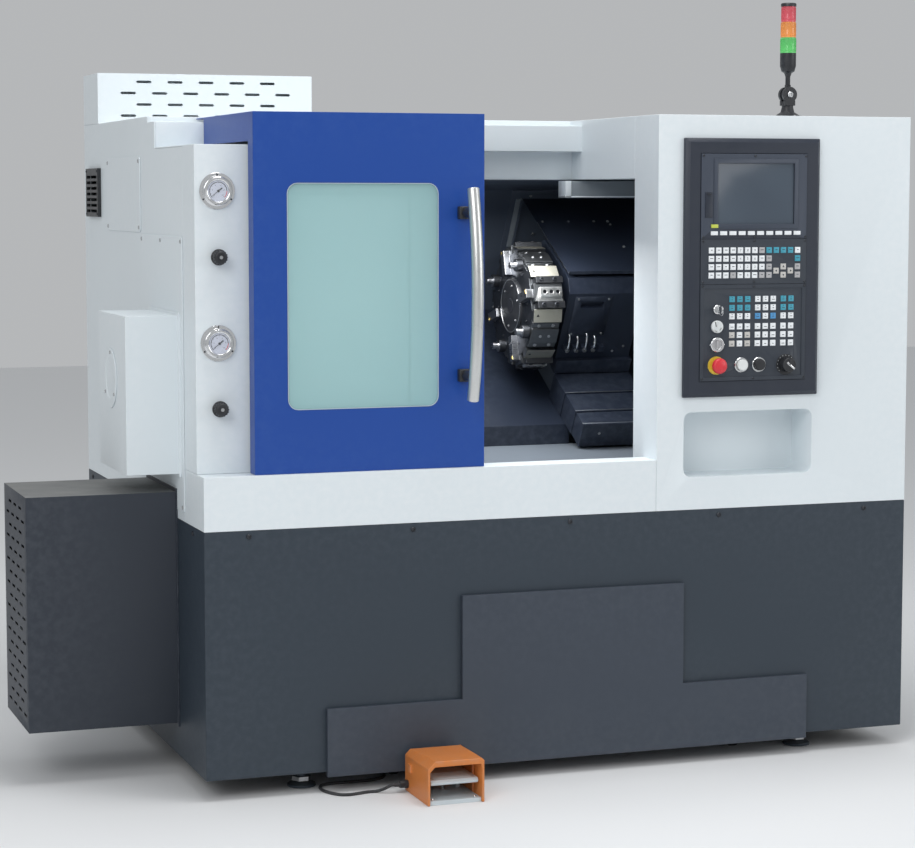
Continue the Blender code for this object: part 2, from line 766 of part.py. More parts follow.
def make_tank():
    front = prism(tank_outline(0), -(GAP + TANK_FRONT_THICK), -GAP, "Y")
    right = TANK_FRONT_RIGHT - TANK_LIP
    tray_top = TANK_FRONT_TOP - TANK_LIP
    neck_left = TANK_NECK_LEFT + TANK_LIP
    neck_right = TANK_NECK_RIGHT - TANK_LIP
    neck_top = TANK_NECK_TOP - TANK_LIP
    tray = box((TANK_BODY_LEFT, -2 * GAP, TANK_BODY_BOTTOM), (right, TANK_BODY_DEPTH, tray_top))
    bucket = box((neck_left, -2 * GAP, TANK_BODY_BOTTOM), (neck_right, TANK_BUCKET_DEPTH, neck_top))
    tray_room = box((TANK_BODY_LEFT + SHEET, SHEET, TANK_BODY_BOTTOM + SHEET),
                    (right - SHEET, TANK_BODY_DEPTH - SHEET, tray_top - SHEET))
    bucket_room = box((neck_left + SHEET, SHEET, TANK_BODY_BOTTOM + SHEET),
                      (neck_right - SHEET, TANK_BUCKET_DEPTH - SHEET, neck_top + OVERRUN))
    join(front, tray, bucket)
    cut_away(front, join(tray_room, bucket_room))
    for x, y in wheel_places():
        for side in (-1, 1):
            inner = x + side * FORK_HALF_WIDTH
            outer = x + side * (FORK_HALF_WIDTH + FORK_PLATE)
            low, high = sorted((inner, outer))
            plate = [(y - WHEEL_RADIUS, TANK_BODY_BOTTOM + GAP), (y - AXLE_RADIUS * 2, AXLE_RADIUS * 4),
                     (y + AXLE_RADIUS * 2, AXLE_RADIUS * 4), (y + WHEEL_RADIUS, TANK_BODY_BOTTOM + GAP)]
            join(front, prism(plate, low, high))
        reach = FORK_HALF_WIDTH + FORK_PLATE / 2
        join(front, rod(AXLE_RADIUS, x - reach, x + reach, (y, WHEEL_RADIUS), "X", 12))
    node("coolant_tank", front, "slate_paint")


def make_wheels():
    names = ("tank_wheel_front_left", "tank_wheel_back_left",
             "tank_wheel_front_right", "tank_wheel_back_right")
    half = WHEEL_WIDTH / 2
    bore = AXLE_RADIUS + STEM_CLEARANCE
    for name, (x, y) in zip(names, wheel_places()):
        tread = turned([(bore, -half), (WHEEL_RADIUS - TAPER, -half), (WHEEL_RADIUS, -half + TAPER),
                        (WHEEL_RADIUS, half - TAPER), (WHEEL_RADIUS - TAPER, half), (bore, half)],
                       (x, y, WHEEL_RADIUS), "X", 20)
        node(name, tread, "rubber", (x, y, WHEEL_RADIUS))


def make_apron():
    path = [(APRON_FLANGE, BASE_TOP + GAP), (0, BASE_TOP + GAP), (0, SILL_TOP), (APRON_DEPTH, SILL_TOP),
            (APRON_DEPTH, SILL_TOP - APRON_FLANGE)]
    sheet = prism(folded(path[::-1], SHEET), 0, CABINET_LEFT - GAP)
    cheek = box((0, 0, BASE_TOP + GAP), (SHEET, SIDE_SEAM, SILL_TOP))
    node("front_apron", join(sheet, cheek), "white_paint")


def make_headstock_cover():
    back = FASCIA_FRONT - GAP
    path = [(COLUMN_FRONT, SILL_TOP + GAP), (COLUMN_FRONT, COLUMN_TOP), (back, COLUMN_TOP)]
    sheet = prism(folded(path[::-1], SHEET), 0, LINING_LEFT - GAP)
    cheek = box((0, COLUMN_FRONT, SILL_TOP + GAP), (SHEET, SIDE_SEAM, COLUMN_TOP))
    node("headstock_cover", join(sheet, cheek), "white_paint")


def make_side_walls():
    start = SIDE_SEAM + GAP
    path = [(0, start), (0, MACHINE_DEPTH), (MACHINE_WIDTH, MACHINE_DEPTH),
            (MACHINE_WIDTH, CABINET_DEPTH + GAP)]
    walls = prism(folded(path[::-1], SHEET), BASE_TOP + GAP, ROOF_TOP, "Z")
    left = (-OVERRUN, SHEET + OVERRUN)
    notch = prism([(start - OVERRUN, COLUMN_TOP - SHEET - GAP), (FASCIA_FRONT, COLUMN_TOP - SHEET - GAP),
                   (FASCIA_FRONT, FASCIA_TOP), (ROOF_FRONT, FASCIA_TOP), (ROOF_FRONT, ROOF_TOP + OVERRUN),
                   (start - OVERRUN, ROOF_TOP + OVERRUN)], left[0], left[1])
    port = rod(CYLINDER_HOLE_RADIUS, left[0], left[1], (SPINDLE_Y, SPINDLE_Z))
    window = box((left[0], GRILLE_Y0 + GRILLE_RIM, GRILLE_Z0 + GRILLE_RIM),
                 (left[1], GRILLE_Y1 - GRILLE_RIM, GRILLE_Z1 - GRILLE_RIM))
    cut_away(walls, notch, port, window)
    node("side_walls", walls, "white_paint")


def make_roof():
    back = MACHINE_DEPTH - SHEET - GAP
    path = [(RECESS_FRONT, RECESS_LOW), (RECESS_FRONT, FASCIA_LOW), (FASCIA_FRONT, FASCIA_LOW),
            (FASCIA_FRONT, FASCIA_TOP), (ROOF_FRONT, FASCIA_TOP), (ROOF_FRONT, ROOF_TOP), (back, ROOF_TOP)]
    right = MACHINE_WIDTH - SHEET - GAP
    header = prism(folded(path[::-1], SHEET), SHEET + GAP, right)
    front = CABINET_DEPTH + GAP
    case = box((CABINET_LEFT, front, RECESS_LOW), (right, ROOF_FRONT + SHEET, ROOF_TOP))
    room = box((CABINET_LEFT + SHEET, front + SHEET, RECESS_LOW + SHEET),
               (right - SHEET, ROOF_FRONT + SHEET + OVERRUN, ROOF_TOP - SHEET))
    inner = box((CABINET_LEFT + SHEET, FASCIA_FRONT - OVERRUN, RECESS_LOW + SHEET),
                (right + OVERRUN, ROOF_FRONT + SHEET, ROOF_TOP - SHEET))
    cut_away(header, inner)
    cut_away(case, room)
    node("roof_header", join(header, case), "white_paint")


def make_control_cabinet():
    floor = BASE_TOP + GAP
    case = box((CABINET_LEFT, 0, floor), (MACHINE_WIDTH, CABINET_DEPTH, ROOF_TOP))
    room = box((CABINET_LEFT + SHEET, SHEET, floor + SHEET),
               (MACHINE_WIDTH - SHEET, CABINET_DEPTH + OVERRUN, ROOF_TOP - SHEET))
    cut_away(case, room)
    margin = COVER_FLANGE
    window = box((UNIT_X0 - margin, -OVERRUN, UNIT_Z0 - margin),
                 (UNIT_X1 + margin, SHEET + OVERRUN, UNIT_Z3 + margin))
    cut_away(case, window)
    outer = prism(rounded(POCKET_X0 - SHEET, POCKET_X1 + SHEET, POCKET_Z0 - SHEET, POCKET_Z1 + SHEET,
                          POCKET_CORNER + SHEET), GAP, POCKET_DEPTH, "Y")
    inner = prism(rounded(POCKET_X0, POCKET_X1, POCKET_Z0, POCKET_Z1, POCKET_CORNER),
                  -OVERRUN, POCKET_DEPTH - SHEET, "Y")
    join(case, outer)
    cut_away(case, inner)
    node("control_cabinet", case, "white_paint")


def lining_path():
    """The face of the lining that the chips meet, from the header down to the chip pan."""
    wall_top = down_slope(-REAR_WALL, REAR_WALL_TOP)
    wall_low = down_slope(-REAR_WALL, -BED_COVER_LEVEL)
    cover_end = down_slope(BED_COVER_END, -BED_COVER_LEVEL)
    return [(RECESS_FRONT + GAP, RECESS_LOW - GAP - LINING_SHEET), wall_top, wall_low, cover_end,
            (cover_end[0], PAN_LIP_HEIGHT + GAP)]


def pan_height(y):
    """The chip pan's upper face at a depth."""
    end = lining_path()[-1][0]
    fall_share = (PAN_LIP_HEIGHT - PAN_SLOT_HEIGHT) / (end - PAN_SLOT_BACK)
    return PAN_SLOT_HEIGHT + fall_share * (y - PAN_SLOT_BACK)


def slope_box(low_x, high_x, down_0, down_1, out_0, out_1):
    """A box lined up with the slope."""
    corners = [down_slope(down_0, out_0), down_slope(down_1, out_0),
               down_slope(down_1, out_1), down_slope(down_0, out_1)]
    return prism(corners, low_x, high_x)


def sloped(outline, low_x, high_x):
    """An outline of (down, out) swept along X, still lying flat: tilt() turns it to the slope."""
    return prism([(-down, out) for down, out in outline], low_x, high_x)


def sloped_box(low_x, high_x, down_0, down_1, out_0, out_1):
    return box((low_x, -down_1, out_0), (high_x, -down_0, out_1))


def tilt(shape):
    """Turn a shape that was made lying flat to the slope and move it to the turret's axis."""
    place = Matrix.Translation((0, TURRET_Y, TURRET_Z))
    shape.data.transform(place @ Matrix.Rotation(SLANT, 4, "X"))
    return shape


def make_lining():
    path = lining_path()
    right = MACHINE_WIDTH - SHEET - 2 * GAP
    sheet = prism(folded(path[::-1], -LINING_SHEET), LINING_LEFT, right)
    end_y = path[-1][0]
    behind_apron = APRON_DEPTH + GAP
    wall = [(COLUMN_FRONT, SILL_TOP + GAP), (COLUMN_FRONT, COLUMN_TOP), (FASCIA_FRONT - GAP, COLUMN_TOP),
            (FASCIA_FRONT - GAP, RECESS_LOW - GAP)] + path + [
                (behind_apron, pan_height(behind_apron) + GAP), (behind_apron, SILL_TOP + GAP)]
    bulkhead = prism(wall, LINING_LEFT, LINING_LEFT + SHEET)
    port = rod(SPINDLE_PORT_RADIUS, LINING_LEFT - OVERRUN, LINING_LEFT + SHEET + OVERRUN,
               (SPINDLE_Y, SPINDLE_Z), "X", 32)
    slot = slope_box(CARRIAGE_SLOT_LEFT, CARRIAGE_SLOT_RIGHT, -CARRIAGE_SLOT_BACK,
                     BED_COVER_END + OVERRUN, -(BED_COVER_LEVEL + OVERRUN), -(BED_COVER_LEVEL - OVERRUN))
    mouth = box((CARRIAGE_SLOT_LEFT, end_y - OVERRUN, PAN_SLOT_HEIGHT),
                (CARRIAGE_SLOT_RIGHT, end_y + OVERRUN, path[-2][1] + OVERRUN))
    join(sheet, bulkhead)
    cut_away(sheet, port, slot, mouth)
    raised = -REAR_WALL + FRAME_RAISE
    buried = -REAR_WALL - LINING_SHEET / 2
    band = FRAME_BAND
    top = REAR_WALL_TOP - FRAME_RAISE
    left_band = slope_box(FRAME_LEFT, FRAME_LEFT + band, buried, raised, -FRAME_DROP, top)
    top_band = slope_box(FRAME_LEFT, FRAME_RIGHT, buried, raised, top - band / 2, top)
    edge = slope_box(FRAME_LEFT + band, FRAME_LEFT + band + FRAME_EDGE / 2, buried,
                     -REAR_WALL + FRAME_EDGE, -FRAME_DROP, top - band)
    join(sheet, left_band, top_band, edge)
    node("interior_lining", sheet, "interior_paint")


def make_chip_pan():
    front = APRON_DEPTH + GAP
    back = lining_path()[-1][0]
    path = [(front, pan_height(front)), (back, PAN_LIP_HEIGHT)]
    floor = prism(folded(path, -SHEET), LINING_LEFT, MACHINE_WIDTH - SHEET - 2 * GAP)
    chute_top = pan_height(PAN_SLOT_FRONT) - SHEET
    duct = box((CHUTE_LEFT, PAN_SLOT_FRONT, CHUTE_BOTTOM), (CHUTE_RIGHT, PAN_SLOT_BACK, chute_top + GAP))
    hole = box((CHUTE_LEFT + SHEET, PAN_SLOT_FRONT + SHEET, CHUTE_BOTTOM - OVERRUN),
               (CHUTE_RIGHT - SHEET, PAN_SLOT_BACK - SHEET, PAN_LIP_HEIGHT + OVERRUN))
    corner = box((CABINET_LEFT - GAP, front - OVERRUN, BASE_TOP),
                 (MACHINE_WIDTH, CABINET_DEPTH + GAP, PAN_LIP_HEIGHT + OVERRUN))
    join(floor, duct)
    cut_away(floor, hole, corner)
    node("chip_pan", floor, "interior_paint")


def make_shroud():
    path = [down_slope(SHROUD_FRONT, SHROUD_LEVEL + SHROUD_HEM), down_slope(SHROUD_FRONT, SHROUD_LEVEL),
            down_slope(-REAR_WALL + GAP, SHROUD_LEVEL)]
    sheet = prism(folded(path[::-1], LINING_SHEET), SHROUD_LEFT, MACHINE_WIDTH - SHEET - 2 * GAP)
    node("turret_shroud", sheet, "interior_paint")


def make_bed():
    low = BASE_TOP + GAP
    front = down_slope(BED_FRONT, -BED_LEVEL)
    back = down_slope(-BED_BACK, -BED_LEVEL)
    outline = [(front[0] - BED_TOE, low), (front[0], front[1]), back,
               (back[0] + BED_BACK_LEAN, back[1] - BED_BACK_LEAN), (back[0] + BED_BACK_LEAN * 2, low)]
    right = MACHINE_WIDTH - BED_RIGHT_INSET
    casting = prism(outline, BED_LEFT, right)
    for middle in (RAIL_DOWN, -RAIL_UP):
        rail = slope_box(HEADSTOCK_RIGHT + OVERRUN, right - OVERRUN, middle - RAIL_WIDTH / 2,
                         middle + RAIL_WIDTH / 2, -(BED_LEVEL + GAP), -(BED_LEVEL - RAIL_HEIGHT))
        join(casting, rail)
    node("slant_bed", casting, "cast_iron")


def make_headstock():
    reach = SPINDLE_REACH
    chamfer = HEADSTOCK_CHAMFER
    foot = -(BED_LEVEL - GAP)
    points = [(reach - HEADSTOCK_UP, foot), (reach + HEADSTOCK_FOOT, foot),
              (reach + HEADSTOCK_FOOT, foot + chamfer * 2), (reach + HEADSTOCK_UP, foot + chamfer * 4),
              (reach + HEADSTOCK_UP, HEADSTOCK_CROWN - chamfer),
              (reach + HEADSTOCK_UP - chamfer, HEADSTOCK_CROWN),
              (reach - HEADSTOCK_UP + chamfer, HEADSTOCK_CROWN),
              (reach - HEADSTOCK_UP, HEADSTOCK_CROWN - chamfer)]
    casting = prism([down_slope(down, out) for down, out in points], BED_LEFT, HEADSTOCK_RIGHT)
    bore = rod(SPINDLE_RADIUS + SPINDLE_CLEARANCE, BED_LEFT - OVERRUN, HEADSTOCK_RIGHT + OVERRUN,
               (SPINDLE_Y, SPINDLE_Z), "X", 32)
    node("headstock", cut_away(casting, bore), "cast_iron")


def make_spindle():
    nose = HEADSTOCK_RIGHT + NOSE_CLEARANCE
    face = LINING_LEFT + SHEET + NOSE_CLEARANCE
    profile = [(SPINDLE_BORE, -CYLINDER_REACH), (CYLINDER_RADIUS, -CYLINDER_REACH),
               (CYLINDER_RADIUS, PULLEY_LEFT), (PULLEY_RADIUS, PULLEY_LEFT),
               (PULLEY_RADIUS, PULLEY_LEFT + PULLEY_WIDTH), (SPINDLE_RADIUS, PULLEY_LEFT + PULLEY_WIDTH),
               (SPINDLE_RADIUS, nose), (NOSE_RADIUS, nose), (NOSE_RADIUS, face), (SPINDLE_BORE, face)]
    shaft = turned(profile, (0, SPINDLE_Y, SPINDLE_Z), "X", 32)
    node("spindle", shaft, "steel", (face, SPINDLE_Y, SPINDLE_Z))


def chuck_back():
    return LINING_LEFT + SHEET + NOSE_CLEARANCE + GAP


def radial_box(low_x, high_x, inner, outer, half_width, angle):
    """A box that points away from the spindle's axis at an angle from straight up."""
    across = Vector((math.cos(angle), math.sin(angle)))
    along = Vector((-math.sin(angle), math.cos(angle)))
    centre = Vector((SPINDLE_Y, SPINDLE_Z))
    corners = [centre + along * inner - across * half_width, centre + along * inner + across * half_width,
               centre + along * outer + across * half_width, centre + along * outer - across * half_width]
    return prism([tuple(corner) for corner in corners], low_x, high_x)


def make_chuck():
    back = chuck_back()
    front = back + CHUCK_LENGTH
    body = turned([(SPINDLE_BORE, back), (CHUCK_RADIUS, back), (CHUCK_RADIUS, front - CHUCK_CHAMFER),
                   (CHUCK_RADIUS - CHUCK_CHAMFER, front), (SPINDLE_BORE, front)],
                  (0, SPINDLE_Y, SPINDLE_Z), "X", 36)
    slot_half = JAW_WIDTH / 2 + JAW_CLEARANCE
    for i in range(3):
        cut_away(body, radial_box(front - JAW_SLOT_DEPTH, front + OVERRUN, SPINDLE_BORE / 2,
                                  CHUCK_RADIUS + OVERRUN, slot_half, math.tau * i / 3))
    node("chuck_body", body, "steel", (back, SPINDLE_Y, SPINDLE_Z))
    floor = front - JAW_SLOT_DEPTH + JAW_CLEARANCE
    for i in range(3):
        angle = math.tau * i / 3
        jaw = radial_box(floor, front + JAW_HEIGHT, JAW_INNER, JAW_STEP, JAW_WIDTH / 2, angle)
        step = radial_box(floor, front + JAW_STEP_HEIGHT, JAW_INNER, JAW_OUTER, JAW_WIDTH / 2, angle)
        node("chuck_jaw_%d" % (i + 1), join(jaw, step), "steel", (front, SPINDLE_Y, SPINDLE_Z))


def make_carriage():
    left = CARRIAGE_LEFT + CARRIAGE_INSET
    right = CARRIAGE_RIGHT - CARRIAGE_INSET
    under = -(BED_LEVEL - RAIL_HEIGHT - GAP)
    outline = [(-CARRIAGE_UP, under), (CARRIAGE_DOWN, under), (CARRIAGE_DOWN, -CARRIAGE_NOSE_LEVEL),
               (CARRIAGE_NOSE, -CARRIAGE_NOSE_LEVEL), (CARRIAGE_NOSE, -CARRIAGE_TOP),
               (-CARRIAGE_UP, -CARRIAGE_TOP)]
    saddle = prism([down_slope(down, out) for down, out in outline], left, right)
    node("carriage", saddle, "cast_iron")


def cover_plate(start, end, layer, closed):
    """One folded plate of the telescopic cover, lying flat: two skirts and, if closed, a front."""
    level = -(COVER_LEVEL + layer * COVER_STEP)
    left = CARRIAGE_LEFT + GAP + layer * COVER_STEP
    right = CARRIAGE_RIGHT - GAP - layer * COVER_STEP
    plate = sloped_box(left, right, start, end, -COVER_SKIRT_LEVEL, level)
    front = THIN_SHEET if closed else -OVERRUN
    room = sloped_box(left + THIN_SHEET, right - THIN_SHEET, start - OVERRUN, end - front,
                      -COVER_SKIRT_LEVEL - OVERRUN, level - THIN_SHEET)
    return cut_away(plate, room)


def moving_cover(low_x, high_x):
    """A sheet that slides with the carriage over the fixed bed cover, with its front band."""
    level = -(BED_COVER_LEVEL - MOVING_COVER_LIFT)
    end = BED_COVER_END + MOVING_COVER_LIFT
    corner_y, corner_z = down_slope(end, level)
    drop = corner_z - (PAN_LIP_HEIGHT + GAP)
    foot = (end + drop * SIN_SLANT, level - drop * COS_SLANT)
    path = [(REAR_WALL - GAP, level), (-end, level), (-foot[0], foot[1])]
    outline = folded(path[::-1], -THIN_SHEET)
    return sloped([(-along, out) for along, out in outline], low_x, high_x)


def make_cover_plates():
    node("cover_plate_1", tilt(cover_plate(PLATE_1_START, PLATE_1_END, 0, False)), "interior_paint")
    node("cover_plate_2", tilt(cover_plate(PLATE_2_START, PLATE_2_END, 1, False)), "interior_paint")
    cover = cover_plate(PLATE_3_START, COVER_FRONT, 2, True)
    tuck = CARRIAGE_INSET - GAP
    left = moving_cover(CARRIAGE_LEFT - MOVING_COVER_LENGTH, CARRIAGE_LEFT + tuck)
    right = moving_cover(CARRIAGE_RIGHT - tuck, CARRIAGE_RIGHT + MOVING_COVER_LENGTH)
    level = -(BED_COVER_LEVEL - MOVING_COVER_LIFT)
    bridge = sloped_box(CARRIAGE_LEFT + tuck / 2, CARRIAGE_RIGHT - tuck / 2, CARRIAGE_DOWN + GAP,
                        BED_COVER_END, level - THIN_SHEET / 2, -COVER_SKIRT_LEVEL + THIN_SHEET)
    shelf = sloped_box(CARRIAGE_LEFT + tuck, CARRIAGE_RIGHT - tuck, BED_COVER_END - MOVING_COVER_TUCK,
                       COVER_FRONT - THIN_SHEET / 2, -COVER_SKIRT_LEVEL, -COVER_SKIRT_LEVEL + THIN_SHEET)
    join(cover, shelf, bridge, left, right)
    node("carriage_cover", tilt(cover), "interior_paint")


def make_turret_slide():
    left = CARRIAGE_LEFT + CARRIAGE_INSET
    right = CARRIAGE_RIGHT - CARRIAGE_INSET
    foot = slope_box(left, right, -SLIDE_UP, SLIDE_FRONT, -(CARRIAGE_TOP - GAP), -SLIDE_TOP)
    wiper = slope_box(CARRIAGE_LEFT, CARRIAGE_RIGHT, SLIDE_FRONT - OVERRUN, SLIDE_FRONT + WIPER_THICK,
                      -(COVER_LEVEL - COVER_STEP), -SLIDE_TOP)
    chamfer = HOUSING_CHAMFER
    outline = [(-HOUSING_UP, -(SLIDE_TOP + GAP)), (HOUSING_FRONT, -(SLIDE_TOP + GAP)),
               (HOUSING_FRONT, HOUSING_TOP - chamfer), (HOUSING_FRONT - chamfer, HOUSING_TOP),
               (-HOUSING_UP + chamfer, HOUSING_TOP), (-HOUSING_UP, HOUSING_TOP - chamfer)]
    housing = prism([down_slope(down, out) for down, out in outline], CARRIAGE_LEFT, HOUSING_RIGHT)
    boss = rod(TURRET_BOSS_RADIUS, TURRET_RIGHT + GAP, CARRIAGE_LEFT + OVERRUN, (TURRET_Y, TURRET_Z))
    hatch = slope_box(HATCH_LEFT, HATCH_RIGHT, HOUSING_FRONT - HATCH_RAISE, HOUSING_FRONT + HATCH_RAISE,
                      -HATCH_DROP, HATCH_TOP - chamfer / 2)
    join(foot, wiper, housing, boss, hatch)
    slot = slope_box(HATCH_LEFT + HATCH_SLOT_INSET, HATCH_RIGHT - HATCH_SLOT_INSET,
                     HOUSING_FRONT - OVERRUN / 2, HOUSING_FRONT + OVERRUN, HATCH_SLOT_LOW, HATCH_SLOT_TOP)
    cut_away(foot, slot)
    for i in range(FITTING_COUNT):
        x = HATCH_LEFT + i * FITTING_PITCH
        fitting = slope_box(x - FITTING_RADIUS, x + FITTING_RADIUS, HOUSING_FRONT - GAP,
                            HOUSING_FRONT + FITTING_REACH, -FITTING_DROP - FITTING_RADIUS,
                            -FITTING_DROP + FITTING_RADIUS)
        join(foot, fitting)
    node("turret_slide", foot, "interior_paint")


def turret_point(radius, across, angle):
    """Y and Z of a point at a radius and a sideways offset, at an angle up from straight forward."""
    forward = Vector((-math.cos(angle), math.sin(angle)))
    side = Vector((math.sin(angle), math.cos(angle)))
    return tuple(Vector((TURRET_Y, TURRET_Z)) + forward * radius + side * across)


def turret_block(low_x, high_x, inner, outer, half_width, angle, offset=0):
    """A box on the turret that points outwards at an angle, set off sideways from the station's middle."""
    corners = [turret_point(inner, offset - half_width, angle), turret_point(inner, offset + half_width, angle),
               turret_point(outer, offset + half_width, angle), turret_point(outer, offset - half_width, angle)]
    return prism(corners, low_x, high_x)


def plate_holes(angle):
    """The three bores in a tool plate, as one cutter: short eight-sided rods that point outwards."""
    sides = 8
    middle = (TURRET_LEFT + PLATE_LEFT_INSET + TURRET_RIGHT - PLATE_RIGHT_INSET) / 2
    top = HOLDER_RADIUS + PLATE_RAISE
    holes = []
    for i in (-1, 0, 1):
        bm = bmesh.new()
        bmesh.ops.create_cone(bm, cap_ends=True, segments=sides, radius1=PLATE_HOLE_RADIUS,
                              radius2=PLATE_HOLE_RADIUS, depth=PLATE_HOLE_DEPTH * 2)
        hole = solid_from(bm)
        foot_y, foot_z = turret_point(top, 0, angle)
        place = Matrix.Translation((middle + i * PLATE_HOLE_PITCH, foot_y, foot_z))
        hole.data.transform(place @ Matrix.Rotation(math.pi / 2 - angle, 4, "X"))
        holes.append(hole)
    return bundle(holes)


def turning_station(disc, angle):
    """A turning tool: holder, bored plate, a clamp bar on either side and a shank across the face."""
    foot = SLOT_FLOOR_RADIUS - GAP
    holder = turret_block(TURRET_LEFT + HOLDER_INSET, TURRET_RIGHT + HOLDER_INSET, foot, HOLDER_RADIUS,
                          HOLDER_HALF, angle)
    plate = turret_block(TURRET_LEFT + PLATE_LEFT_INSET, TURRET_RIGHT - PLATE_RIGHT_INSET,
                         HOLDER_RADIUS - GAP, HOLDER_RADIUS + PLATE_RAISE, PLATE_HALF, angle)
    cut_away(plate, plate_holes(angle))
    join(disc, holder, plate)
    for side in (-1, 1):
        clamp = turret_block(TURRET_LEFT + HOLDER_INSET * 4, TURRET_RIGHT + HOLDER_INSET * 2, foot,
                             CLAMP_RADIUS, CLAMP_HALF, angle, side * CLAMP_OFFSET)
        join(disc, clamp)
    shank = turret_block(TURRET_LEFT - SHANK + SHANK_SINK, TURRET_LEFT + SHANK_SINK,
                         SHANK_INNER, SHANK_OUTER, SHANK / 2, angle)
    join(disc, shank)


def boring_station(disc, angle):
    """A boring tool: a stepped saddle on the slot's floor, and a bar in its sleeve on the face."""
    foot = SLOT_FLOOR_RADIUS - GAP
    saddle = turret_block(TURRET_LEFT + HOLDER_INSET, TURRET_RIGHT - HOLDER_INSET, foot, SADDLE_RADIUS,
                          SADDLE_HALF, angle)
    step = turret_block(TURRET_LEFT + HOLDER_INSET, TURRET_RIGHT - HOLDER_INSET, foot, SADDLE_STEP_RADIUS,
                        SADDLE_STEP_HALF, angle)
    centre = turret_point(BAR_CENTRE_RADIUS, 0, angle)
    sleeve = rod(BAR_SLEEVE_RADIUS, TURRET_LEFT - BAR_SLEEVE_LENGTH, TURRET_LEFT + GAP, centre, "X", 16)
    bar = rod(BAR_RADIUS, TURRET_LEFT - BAR_LENGTH, TURRET_LEFT + GAP, centre, "X", 12)
    join(disc, saddle, step, sleeve, bar)


def make_turret_disc():
    step = math.tau / STATION_COUNT
    outline = []
    for i in range(STATION_COUNT):
        land = -SLANT + (i + 1 / 2) * step
        station = -SLANT + (i + 1) * step
        outline.append(turret_point(LAND_RADIUS, -LAND_WIDTH / 2, land))
        outline.append(turret_point(LAND_RADIUS, LAND_WIDTH / 2, land))
        outline.append(turret_point(SLOT_FLOOR_RADIUS, -SLOT_HALF, station))
        outline.append(turret_point(SLOT_FLOOR_RADIUS, SLOT_HALF, station))
    disc = prism(outline, TURRET_LEFT, TURRET_RIGHT)
    face = TURRET_LEFT - CAP_RAISE
    cap = turned([(0, TURRET_LEFT + GAP), (CAP_RADIUS, TURRET_LEFT + GAP), (CAP_RADIUS, face + CAP_RIM),
                  (CAP_RADIUS - CAP_RIM, face), (0, face)], (0, TURRET_Y, TURRET_Z), "X", 32)
    join(disc, cap)
    for i in range(STATION_COUNT):
        angle = -SLANT + i * step
        if i % 2:
            turning_station(disc, angle)
        else:
            boring_station(disc, angle)
    node("turret_disc", disc, "dark_steel", (TURRET_RIGHT, TURRET_Y, TURRET_Z))


def make_door():
    bottom = SILL_TOP + GAP
    back = DOOR_FRONT + DOOR_PANEL_DEPTH
    panel = box((DOOR_LEFT, DOOR_FRONT, bottom), (DOOR_RIGHT, back, DOOR_TOP))
    room = box((DOOR_LEFT + SHEET, DOOR_FRONT + SHEET, bottom + SHEET),
               (DOOR_RIGHT - SHEET, back + OVERRUN, DOOR_TOP - SHEET))
    window = prism(rounded(WINDOW_LEFT, WINDOW_RIGHT, WINDOW_LOW, WINDOW_TOP, WINDOW_CORNER, 4),
                   -OVERRUN, DOOR_FRONT + SHEET + OVERRUN, "Y")
    cut_away(panel, room, window)
    hood_path = [(DOOR_LEFT, HOOD_LOW), (DOOR_LEFT, DOOR_TOP), (DOOR_RIGHT, DOOR_TOP), (DOOR_RIGHT, HOOD_LOW)]
    hood = prism(folded(hood_path[::-1], SHEET), back - SHEET, FASCIA_FRONT - TAPER, "Y")
    lip = box((DOOR_LEFT, back - SHEET, DOOR_TOP - SHEET), (DOOR_RIGHT, HOOD_LIP_BACK, DOOR_TOP))
    join(panel, hood, lip)
    node("door", panel, "blue_paint")


def make_window():
    front = DOOR_FRONT + SHEET + GAP
    lap = PANE_LAP
    pane = prism(rounded(WINDOW_LEFT - lap, WINDOW_RIGHT + lap, WINDOW_LOW - lap, WINDOW_TOP + lap,
                         WINDOW_CORNER + lap, 4), front, front + PANE_THICK, "Y")
    node("door_window", pane, "aqua_glass")


def make_handle():
    middle = (HANDLE_LOW + HANDLE_TOP) / 2
    half = (HANDLE_TOP - HANDLE_LOW) / 2
    rings = 12
    sides = 12
    bm = bmesh.new()
    loops = []
    for i in range(rings + 1):
        share = 2 * i / rings - 1
        y = DOOR_FRONT - HANDLE_END_OFFSET - HANDLE_BOW * (1 - share * share)
        lean = math.atan2(2 * HANDLE_BOW * share, half)
        loop = []
        for k in range(sides):
            turn = math.tau * k / sides
            across = HANDLE_RADIUS * math.cos(turn)
            out = HANDLE_RADIUS * math.sin(turn)
            loop.append(bm.verts.new((HANDLE_X + across, y + out * math.cos(lean),
                                      middle + half * share - out * math.sin(lean))))
        loops.append(loop)
    for lower, upper in zip(loops, loops[1:]):
        for k in range(sides):
            bm.faces.new((lower[k], lower[(k + 1) % sides], upper[(k + 1) % sides], upper[k]))
    bm.faces.new(loops[0][::-1])
    bm.faces.new(loops[-1])
    tube = solid_from(bm)
    for z in (HANDLE_LOW + STANDOFF_INSET, HANDLE_TOP - STANDOFF_INSET):
        post = rod(STANDOFF_RADIUS, DOOR_FRONT - HANDLE_END_OFFSET - HANDLE_RADIUS / 2, DOOR_FRONT - GAP,
                   (HANDLE_X - STANDOFF_SHIFT, z), "Y", 16)
        join(tube, post)
    node("door_handle", tube, "steel")


